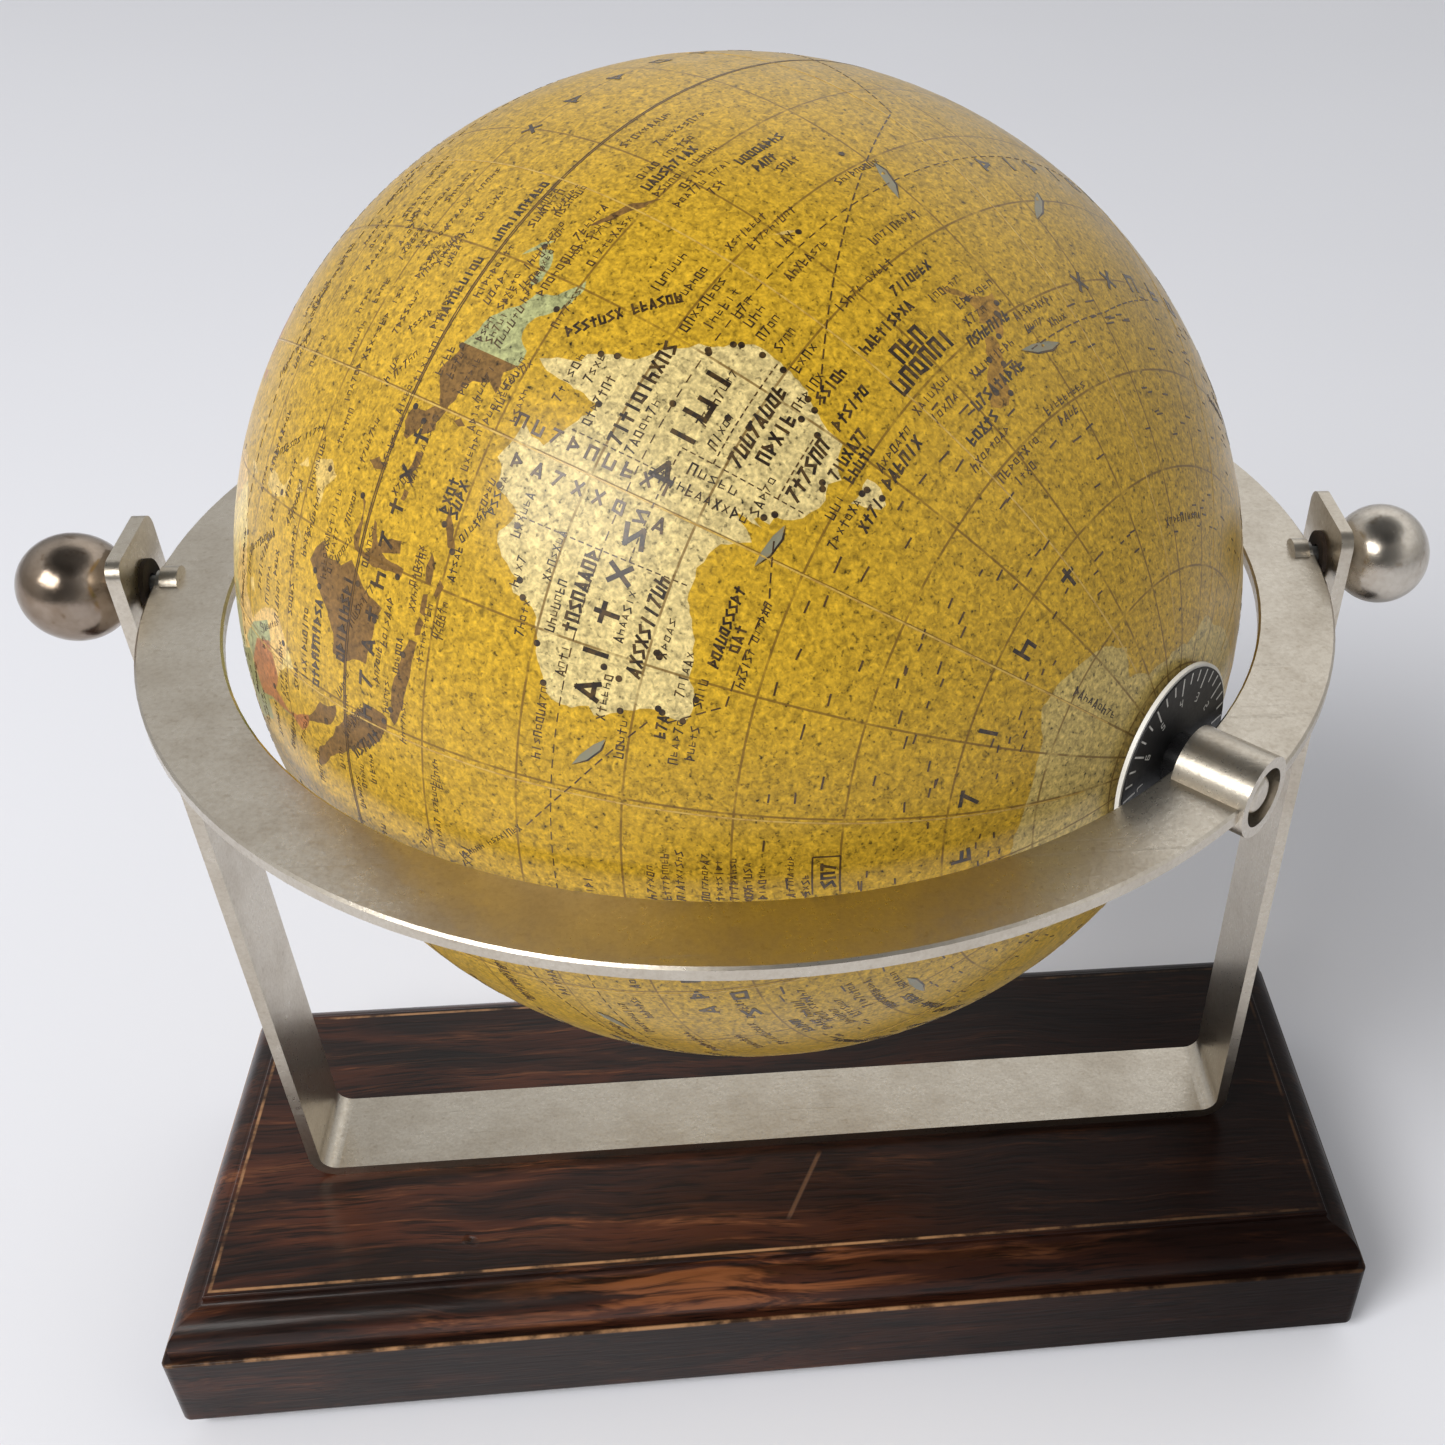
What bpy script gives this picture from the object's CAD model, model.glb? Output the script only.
# Looks of a small desktop globe on a tilting ring: antique map paper, nickel, walnut.

import math
import random

import bpy
import numpy as np
from mathutils import Matrix, Vector
from mathutils.geometry import delaunay_2d_cdt


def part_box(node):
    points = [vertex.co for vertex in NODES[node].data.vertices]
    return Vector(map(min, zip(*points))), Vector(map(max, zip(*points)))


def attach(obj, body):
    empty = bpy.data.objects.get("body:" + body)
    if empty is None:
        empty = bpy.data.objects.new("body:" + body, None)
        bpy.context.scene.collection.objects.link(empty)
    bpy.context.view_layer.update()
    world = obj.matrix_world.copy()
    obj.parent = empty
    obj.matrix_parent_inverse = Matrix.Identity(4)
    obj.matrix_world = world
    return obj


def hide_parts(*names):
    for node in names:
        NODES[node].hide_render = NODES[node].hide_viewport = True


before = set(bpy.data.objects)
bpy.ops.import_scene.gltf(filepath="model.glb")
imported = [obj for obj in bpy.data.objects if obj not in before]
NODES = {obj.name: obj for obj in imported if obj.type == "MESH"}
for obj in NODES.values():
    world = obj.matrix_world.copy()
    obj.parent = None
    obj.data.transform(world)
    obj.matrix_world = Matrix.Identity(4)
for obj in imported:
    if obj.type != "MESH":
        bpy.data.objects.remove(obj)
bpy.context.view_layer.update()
MM = 0.001
POLES = (("south", -1), ("north", 1))


# ---------------------------------------------------------------- where things are, from the CAD

def centre_of(node):
    low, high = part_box(node)
    return (low + high) / 2


def globe_place():
    """Centre, radius and north direction of the globe, and its frame: X at longitude 0, Z north."""
    low_s, high_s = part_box("shell_south")
    low_n, high_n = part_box("shell_north")
    low = Vector(map(min, low_s, low_n))
    high = Vector(map(max, high_s, high_n))
    north = (centre_of("dial_boss_north") - centre_of("dial_boss_south")).normalized()
    return (low + high) / 2, (high.z - low.z) / 2, north


GLOBE_CENTRE, GLOBE_RADIUS, NORTH = globe_place()
TOP_LONGITUDE = math.radians(183.7)      # the meridian that is uppermost at rest
SHELL_THICKNESS = 2 * MM
SHELL_INNER = GLOBE_RADIUS - SHELL_THICKNESS
POLE_HOLE = 5 * MM                       # radius of the hole at each pole


def globe_matrix():
    """Turns the globe's own frame, north along Z, into its place at rest."""
    up = Vector((0, 0, 1))
    side = NORTH.cross(up)
    x_axis = math.cos(-TOP_LONGITUDE) * up + math.sin(-TOP_LONGITUDE) * side
    y_axis = NORTH.cross(x_axis)
    turn = Matrix((x_axis, y_axis, NORTH)).transposed().to_4x4()
    return Matrix.Translation(GLOBE_CENTRE) @ turn


GLOBE_FRAME = globe_matrix()


# ---------------------------------------------------------------- node helpers

def srgb(red, green, blue):
    """Linear colour with alpha from 0-255 display values."""
    def channel(value):
        value /= 255
        return value / 12.92 if value <= 0.04045 else ((value + 0.055) / 1.055) ** 2.4
    return (channel(red), channel(green), channel(blue), 1.0)


class Graph:
    """The node tree of a material or world, with short ways to add nodes."""

    def __init__(self, owner):
        owner.use_nodes = True
        self.owner = owner
        self.tree = owner.node_tree

    def put(self, socket, value):
        if isinstance(value, bpy.types.NodeSocket):
            self.tree.links.new(value, socket)
        else:
            socket.default_value = value

    def node(self, kind, inputs=(), **settings):
        made = self.tree.nodes.new("ShaderNode" + kind)
        for key, value in settings.items():
            setattr(made, key, value)
        for key, value in dict(inputs).items():
            self.put(made.inputs[key], value)
        return made

    def surface(self, **inputs):
        shader = self.tree.nodes["Principled BSDF"]
        for key, value in inputs.items():
            self.put(shader.inputs[key.replace("_", " ")], value)
        return self.owner

    def coords(self):
        return self.node("TexCoord").outputs["Object"]

    def math(self, operation, *values):
        made = self.node("Math", operation=operation)
        for socket, value in zip(made.inputs, values):
            self.put(socket, value)
        return made.outputs[0]

    def plus(self, a, b):
        return self.math("ADD", a, b)

    def minus(self, a, b):
        return self.math("SUBTRACT", a, b)

    def times(self, a, b):
        return self.math("MULTIPLY", a, b)

    def split(self, vector):
        return self.node("SeparateXYZ", {0: vector}).outputs

    def stretch(self, vector, scale, offset=(0, 0, 0)):
        made = self.node("Mapping", {"Vector": vector, "Scale": scale, "Location": offset})
        return made.outputs[0]

    def noise(self, vector, scale, detail=3.0, roughness=0.5, distortion=0.0):
        made = self.node("TexNoise", {"Vector": vector, "Scale": scale, "Detail": detail,
                                      "Roughness": roughness, "Distortion": distortion})
        return made.outputs["Fac"]

    def ramp(self, value, low, high, out_low=0.0, out_high=1.0):
        made = self.node("MapRange", {"Value": value, "From Min": low, "From Max": high,
                                      "To Min": out_low, "To Max": out_high},
                         interpolation_type="SMOOTHSTEP")
        return made.outputs["Result"]

    def mix(self, amount, a, b, blend="MIX"):
        made = self.node("Mix", data_type="RGBA", blend_type=blend)
        self.put(made.inputs["Factor"], amount)
        self.put(made.inputs["A"], a)
        self.put(made.inputs["B"], b)
        return made.outputs["Result"]

    def bands(self, value, stops):
        """Grey that runs through (position, brightness) stops."""
        made = self.node("ValToRGB", {0: value})
        elements = made.color_ramp.elements
        for element, (position, shade) in zip(elements, (stops[0], stops[-1])):
            element.position, element.color = position, (shade, shade, shade, 1.0)
        for position, shade in stops[1:-1]:
            elements.new(position).color = (shade, shade, shade, 1.0)
        return made.outputs[0]

    def bump(self, height, distance, strength):
        made = self.node("Bump", {"Height": height, "Distance": distance, "Strength": strength})
        return made.outputs["Normal"]


def material_graph(name):
    return Graph(bpy.data.materials.new(name))


def placed(name, data):
    """A new object that holds this data, linked into the scene."""
    made = bpy.data.objects.new(name, data)
    bpy.context.scene.collection.objects.link(made)
    return made


# ---------------------------------------------------------------- materials

PARALLEL_STEP, MERIDIAN_STEP = 10.0, 15.0      # degrees between the printed lines


def paper_material():
    """Varnished antique map paper: mottled ochre, tinted land, thin printed graticule."""
    g = material_graph("map_paper")
    polar = g.node("Mapping", {"Vector": g.coords(), "Location": GLOBE_CENTRE,
                               "Rotation": GLOBE_FRAME.to_euler()}, vector_type="TEXTURE")
    where = polar.outputs[0]
    x, y, z = g.split(where)
    tint = g.node("Attribute", attribute_name="map_tint").outputs["Color"]
    generic = g.node("Attribute", attribute_name="map_generic").outputs["Fac"]

    wander = g.node("TexNoise", {"Vector": where, "Scale": 160.0, "Detail": 3.0})
    shift = g.node("VectorMath", {0: wander.outputs["Color"], 1: (0.008,) * 3},
                   operation="MULTIPLY")
    moved = g.node("VectorMath", {0: where, 1: shift.outputs[0]}, operation="ADD")
    cells = g.node("TexVoronoi", {"Vector": moved.outputs[0], "Scale": 62.0})
    hue = g.split(cells.outputs["Color"])[0]
    country = g.mix(g.ramp(hue, 0.28, 0.34), srgb(212, 186, 112), srgb(196, 150, 84))
    country = g.mix(g.ramp(hue, 0.48, 0.54), country, srgb(166, 160, 104))
    country = g.mix(g.ramp(hue, 0.70, 0.76), country, srgb(205, 168, 96))
    base = g.mix(generic, tint, country)

    patch = g.noise(where, 38.0, 2.0)
    fleck = g.noise(where, 1150.0, 2.0, 0.55, 0.6)
    grain = g.noise(where, 2600.0, 1.0)
    speck = g.noise(g.stretch(where, (1, 1, 1), (3, 5, 7)), 1700.0, 1.0)
    tone = g.math("MULTIPLY_ADD", g.ramp(patch, 0.3, 0.7), 0.10, 0.95)
    tone = g.math("MULTIPLY_ADD", g.minus(fleck, 0.5), 1.9, tone)
    tone = g.math("MULTIPLY_ADD", g.minus(grain, 0.5), 0.9, tone)
    tone = g.minus(tone, g.ramp(speck, 0.62, 0.72, 0.0, 0.5))
    colour = g.mix(1.0, base, g.node("CombineColor", {0: tone, 1: tone, 2: tone}).outputs[0],
                   "MULTIPLY")

    radius = g.math("SQRT", g.plus(g.plus(g.times(x, x), g.times(y, y)), g.times(z, z)))
    latitude = g.times(g.math("ARCSINE", g.math("DIVIDE", z, radius)), 180 / math.pi)
    longitude = g.times(g.math("ARCTAN2", y, x), 180 / math.pi)
    shrink = g.math("COSINE", g.times(latitude, math.pi / 180))

    def off_line(value, step):
        """Degrees to the nearest whole multiple of the step."""
        share = g.math("FRACT", g.plus(g.math("DIVIDE", value, step), 20.5))
        return g.times(g.math("ABSOLUTE", g.minus(share, 0.5)), step)

    parallel = off_line(latitude, PARALLEL_STEP)
    meridian = g.times(off_line(longitude, MERIDIAN_STEP), shrink)
    line = g.math("MINIMUM", parallel, meridian)
    ink = g.ramp(line, 0.07, 0.15, 1.0, 0.0)
    ink = g.times(ink, g.ramp(g.noise(where, 300.0, 2.0), 0.35, 0.5, 0.35, 0.8))
    colour = g.mix(ink, colour, srgb(104, 74, 24))

    relief = g.plus(g.times(fleck, 0.6), g.times(grain, 0.4))
    rough = g.ramp(g.noise(where, 210.0, 3.0), 0.3, 0.75, 0.30, 0.42)
    return g.surface(Base_Color=colour, Roughness=rough, Specular_IOR_Level=0.12,
                     Normal=g.bump(relief, 0.00005, 0.6),
                     Coat_Weight=0.62, Coat_Roughness=0.31, Coat_IOR=1.45)


def metal_material(name, colour, roughness, grain_scale, tarnish, bump_height, scratches=0.0):
    """Nickel: uneven satin grain, cloudy brown tarnish and a few hairline scratches."""
    g = material_graph(name)
    where = g.coords()
    cloud = g.noise(where, 70.0, 4.0, 0.65)
    grain = g.noise(where, grain_scale, 3.0, 0.65)
    swell = g.noise(where, grain_scale * 0.3, 2.0, 0.5)
    pits = g.noise(g.stretch(where, (1, 1, 1), (1, 2, 3)), grain_scale * 0.5, 3.0)
    stain = g.ramp(pits, 0.60, 0.76, 0.0, tarnish)
    dull = tuple(c * k for c, k in zip(colour[:3], (0.50, 0.42, 0.33))) + (1.0,)
    shade = g.mix(stain, colour, dull)
    shade = g.mix(g.ramp(cloud, 0.40, 0.72, 0.0, tarnish * 0.8), shade, dull)
    shade = g.mix(g.ramp(grain, 0.35, 0.75, 0.0, 0.22), shade, dull)
    rough = g.math("MULTIPLY_ADD", g.minus(grain, 0.5), 0.22, roughness)
    rough = g.math("MULTIPLY_ADD", g.ramp(cloud, 0.4, 0.8), 0.08, rough)
    height = g.math("MULTIPLY_ADD", swell, 2.2, grain)
    if scratches:
        hair = g.noise(g.stretch(where, (30, 700, 700), (2, 0, 0)), 1.0, 2.0, 0.5, 1.2)
        mark = g.ramp(hair, 0.68, 0.71, 0.0, scratches)
        rough = g.math("MULTIPLY_ADD", mark, 0.12, rough)
        height = g.minus(height, g.times(mark, 0.8))
    return g.surface(Base_Color=shade, Metallic=1.0, Roughness=rough,
                     Normal=g.bump(height, bump_height, 0.8))


FASCIA_TOP = 17.5 * MM                   # top of the plinth's plain lower band
TOP_INSET = 8.6 * MM                     # how far in the flat top starts
# marks on the flat top: start and end, in the part's own x and y
TOP_SCRATCH = ((0.0001, -0.0270), (0.0072, -0.0104))
TOP_DENT = ((-0.0599, -0.0255), (-0.0565, -0.0269))


def wood_material():
    """Stained and lacquered walnut: long figure, dark pores, worn arrises, a scratch and a dent."""
    g = material_graph("stained_walnut")
    where = g.coords()
    x, y, z = g.split(where)
    low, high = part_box("plinth")
    sway = g.noise(where, 14.0, 2.0)
    bend = g.node("CombineXYZ", {0: x, 1: g.math("MULTIPLY_ADD", sway, 0.016, y), 2: z})
    bent = bend.outputs[0]
    figure = g.noise(g.stretch(bent, (9, 60, 60)), 1.0, 4.0, 0.6, 0.8)
    streak = g.noise(g.stretch(bent, (26, 330, 330)), 1.0, 4.0, 0.65, 0.5)
    fleck = g.noise(g.stretch(bent, (190, 1700, 1700)), 1.0, 2.0, 0.6)
    pore = g.noise(g.stretch(bent, (90, 1500, 1500), (1, 0, 0)), 1.0, 2.0, 0.6)
    left = g.ramp(x, -0.07, 0.09, 1.0, 0.12)
    bands = g.times(g.ramp(figure, 0.42, 0.68), left)
    colour = g.mix(bands, srgb(28, 15, 11), srgb(74, 38, 23))
    light = g.times(g.ramp(streak, 0.50, 0.74), g.ramp(fleck, 0.38, 0.60, 0.25, 1.0))
    light = g.times(light, g.ramp(bands, 0.0, 0.7, 0.25, 0.85))
    colour = g.mix(light, colour, srgb(124, 76, 46))
    colour = g.mix(g.ramp(pore, 0.50, 0.66, 0.0, 0.8), colour, srgb(14, 7, 5))
    colour = g.mix(g.ramp(x, -0.03, 0.10, 0.0, 0.55), colour, srgb(12, 6, 5))

    inward_x = g.minus(high.x, g.math("ABSOLUTE", x))
    inward_y = g.minus(high.y, g.math("ABSOLUTE", y))
    inward = g.math("MINIMUM", inward_x, inward_y)

    def near(recess, height, reach):
        """Mask of an edge of the plinth, by how far in and how high the edge lies."""
        a = g.minus(inward, recess)
        b = g.minus(z, height)
        gap = g.math("SQRT", g.plus(g.times(a, a), g.times(b, b)))
        return g.ramp(gap, 0.3 * reach, reach, 1.0, 0.0)

    worn = g.math("MAXIMUM", near(0.0001, low.z + FASCIA_TOP, 0.00062),
                  near(TOP_INSET, high.z, 0.00042))
    worn = g.math("MAXIMUM", worn, near(0.0003, low.z + 0.0003, 0.0005))
    wear = g.ramp(g.noise(where, 130.0, 4.0, 0.65), 0.36, 0.60, 0.06, 0.9)
    worn = g.times(worn, g.times(wear, g.ramp(x, 0.0, 0.09, 1.0, 0.12)))
    colour = g.mix(worn, colour, srgb(168, 126, 88))
    # the reddish place on the front moulding where the stain has rubbed away
    rubbed = g.times(g.ramp(g.math("ABSOLUTE", g.minus(x, -0.012)), 0.012, 0.045, 1.0, 0.0),
                     g.ramp(g.minus(inward, TOP_INSET - 0.0001), -0.0008, 0.0, 1.0, 0.0))
    rubbed = g.times(rubbed, g.ramp(z, low.z + FASCIA_TOP + 0.0003, low.z + FASCIA_TOP + 0.0015))
    rubbed = g.times(rubbed, g.ramp(streak, 0.46, 0.62, 0.0, 0.8))
    colour = g.mix(rubbed, colour, srgb(128, 76, 44))

    def line_mark(start, end, width):
        """Mask of a thin straight mark on the flat top, between two points in x and y."""
        ux, uy = end[0] - start[0], end[1] - start[1]
        length = math.hypot(ux, uy)
        ux, uy = ux / length, uy / length
        px = g.minus(x, start[0])
        py = g.minus(y, start[1])
        along = g.plus(g.times(px, ux), g.times(py, uy))
        across = g.math("ABSOLUTE", g.minus(g.times(px, -uy), g.times(py, -ux)))
        within = g.times(g.ramp(along, 0.0, 0.002), g.ramp(along, length - 0.002, length, 1.0, 0.0))
        mark = g.times(within, g.ramp(across, 0.3 * width, width, 1.0, 0.0))
        return g.times(mark, g.ramp(z, high.z - 0.001, high.z - 0.0005))

    scratch = line_mark(*TOP_SCRATCH, 0.0006)
    dent = line_mark(*TOP_DENT, 0.0011)
    colour = g.mix(g.times(scratch, 0.38), colour, srgb(128, 92, 66))
    colour = g.mix(g.times(dent, 0.8), colour, srgb(20, 9, 6))

    relief = g.minus(g.times(streak, 0.3), g.times(pore, 0.5))
    relief = g.minus(relief, g.times(dent, 6.0))
    relief = g.minus(relief, g.times(scratch, 1.5))
    rough = g.ramp(g.noise(where, 60.0, 4.0), 0.35, 0.75, 0.30, 0.46)
    return g.surface(Base_Color=colour, Roughness=rough, Normal=g.bump(relief, 0.00020, 0.6),
                     Specular_IOR_Level=g.ramp(x, -0.06, 0.10, 0.22, 0.06),
                     Coat_Weight=g.ramp(x, -0.06, 0.10, 0.24, 0.03), Coat_Roughness=0.16,
                     Coat_IOR=1.45)


def plain_material(name, light, dark, scale, roughness, height, coat=0.0):
    """Moulded or pressed stuff: two close tones in clouds, fine surface grain."""
    g = material_graph(name)
    where = g.coords()
    cloud = g.noise(where, scale, 4.0, 0.6)
    grain = g.noise(where, scale * 12, 2.0, 0.6)
    colour = g.mix(g.ramp(cloud, 0.3, 0.7), dark, light)
    rough = g.math("MULTIPLY_ADD", g.minus(grain, 0.5), 0.2, roughness)
    return g.surface(Base_Color=colour, Roughness=rough, Normal=g.bump(grain, height, 0.6),
                     Coat_Weight=coat, Coat_Roughness=0.1)


def ink_material(name, colour, fade):
    """Printed ink under the map's varnish, a little broken where the print is worn."""
    g = material_graph(name)
    where = g.coords()
    worn = g.ramp(g.noise(where, 900.0, 3.0, 0.6), 0.42, 0.62, 0.0, fade)
    shade = g.mix(worn, colour, srgb(150, 112, 44))
    relief = g.noise(where, 2400.0, 1.0)
    rough = g.ramp(g.noise(where, 210.0, 3.0), 0.3, 0.75, 0.32, 0.45)
    return g.surface(Base_Color=shade, Roughness=rough, Normal=g.bump(relief, 0.00002, 0.4),
                     Coat_Weight=0.5, Coat_Roughness=0.18)


PAPER = paper_material()
SATIN = metal_material("satin_nickel", srgb(206, 198, 184), 0.30, 1700.0, 0.30, 0.00002, 0.5)
POLISHED = metal_material("polished_nickel", srgb(160, 146, 132), 0.18, 800.0, 1.0, 0.00003)
POLISHED_BRIGHT = metal_material("polished_nickel_bright", srgb(202, 195, 184), 0.22, 800.0, 0.75,
                                 0.00003)
ZINC = metal_material("zinc_steel", srgb(170, 172, 172), 0.36, 1300.0, 0.3, 0.00003)
WALNUT = wood_material()
FIBRE = plain_material("dark_fibre", srgb(58, 46, 38), srgb(34, 27, 23), 260.0, 0.8, 0.00006)
RUBBER = plain_material("foot_rubber", srgb(44, 42, 40), srgb(24, 23, 22), 200.0, 0.75, 0.00005)
BLACK = plain_material("black_plastic", srgb(30, 29, 30), srgb(16, 16, 17), 90.0, 0.28, 0.00001, 0.3)
DIAL_BLACK = plain_material("dial_print", srgb(18, 17, 19), srgb(8, 8, 9), 120.0, 0.55, 0.00001)
WHITE = plain_material("white_plastic", srgb(226, 224, 218), srgb(204, 200, 190), 80.0, 0.34,
                       0.00002, 0.3)
PALE = plain_material("pale_plastic", srgb(196, 190, 176), srgb(172, 166, 150), 80.0, 0.45, 0.00002)
BOARD = plain_material("plain_board", srgb(170, 150, 118), srgb(140, 122, 92), 150.0, 0.8, 0.00005)
INK = ink_material("map_ink", srgb(34, 22, 10), 0.2)
INK_BROWN = ink_material("map_ink_brown", srgb(56, 36, 14), 0.2)
INK_BLUE = ink_material("map_ink_blue", srgb(124, 122, 100), 0.2)
SEAM = ink_material("map_seam", srgb(196, 162, 74), 0.7)
MARK_WHITE = plain_material("mark_white", srgb(214, 212, 206), srgb(186, 184, 178), 900.0, 0.4,
                            0.00001)

SINGLE_FINISH = {
    "plinth": WALNUT, "feet": RUBBER, "bracket": SATIN, "ring": SATIN, "axle": ZINC,
    "fixing_studs": ZINC, "fixing_washers": ZINC, "fixing_nuts": ZINC, "equator_band": BOARD,
    "knob_left": POLISHED, "knob_right": POLISHED_BRIGHT,
}
HANDED_FINISH = {"friction_washer": FIBRE, "pivot_nut": ZINC, "knob_stud": ZINC}
POLE_FINISH = {"axle_bush": ZINC, "axle_cap": SATIN, "pole_plug": PALE, "pole_dial": WHITE,
               "dial_face": DIAL_BLACK, "dial_boss": BLACK}


def finish_cad_nodes():
    finish = dict(SINGLE_FINISH)
    for ends, pairs in ((("left", "right"), HANDED_FINISH), (("south", "north"), POLE_FINISH)):
        for end in ends:
            finish.update({f"{name}_{end}": material for name, material in pairs.items()})
    for name, material in finish.items():
        mesh = NODES[name].data
        mesh.materials.clear()
        mesh.materials.append(material)


# ---------------------------------------------------------------- the map

OCEAN = srgb(180, 143, 34)
TINTS = {
    "cream": srgb(200, 180, 122), "brown": srgb(112, 82, 38), "sage": srgb(150, 152, 104),
    "tan": srgb(196, 166, 92), "umber": srgb(150, 112, 42), "orange": srgb(160, 100, 52),
    "green": srgb(132, 132, 74), "pale": srgb(186, 162, 92),
}

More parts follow.
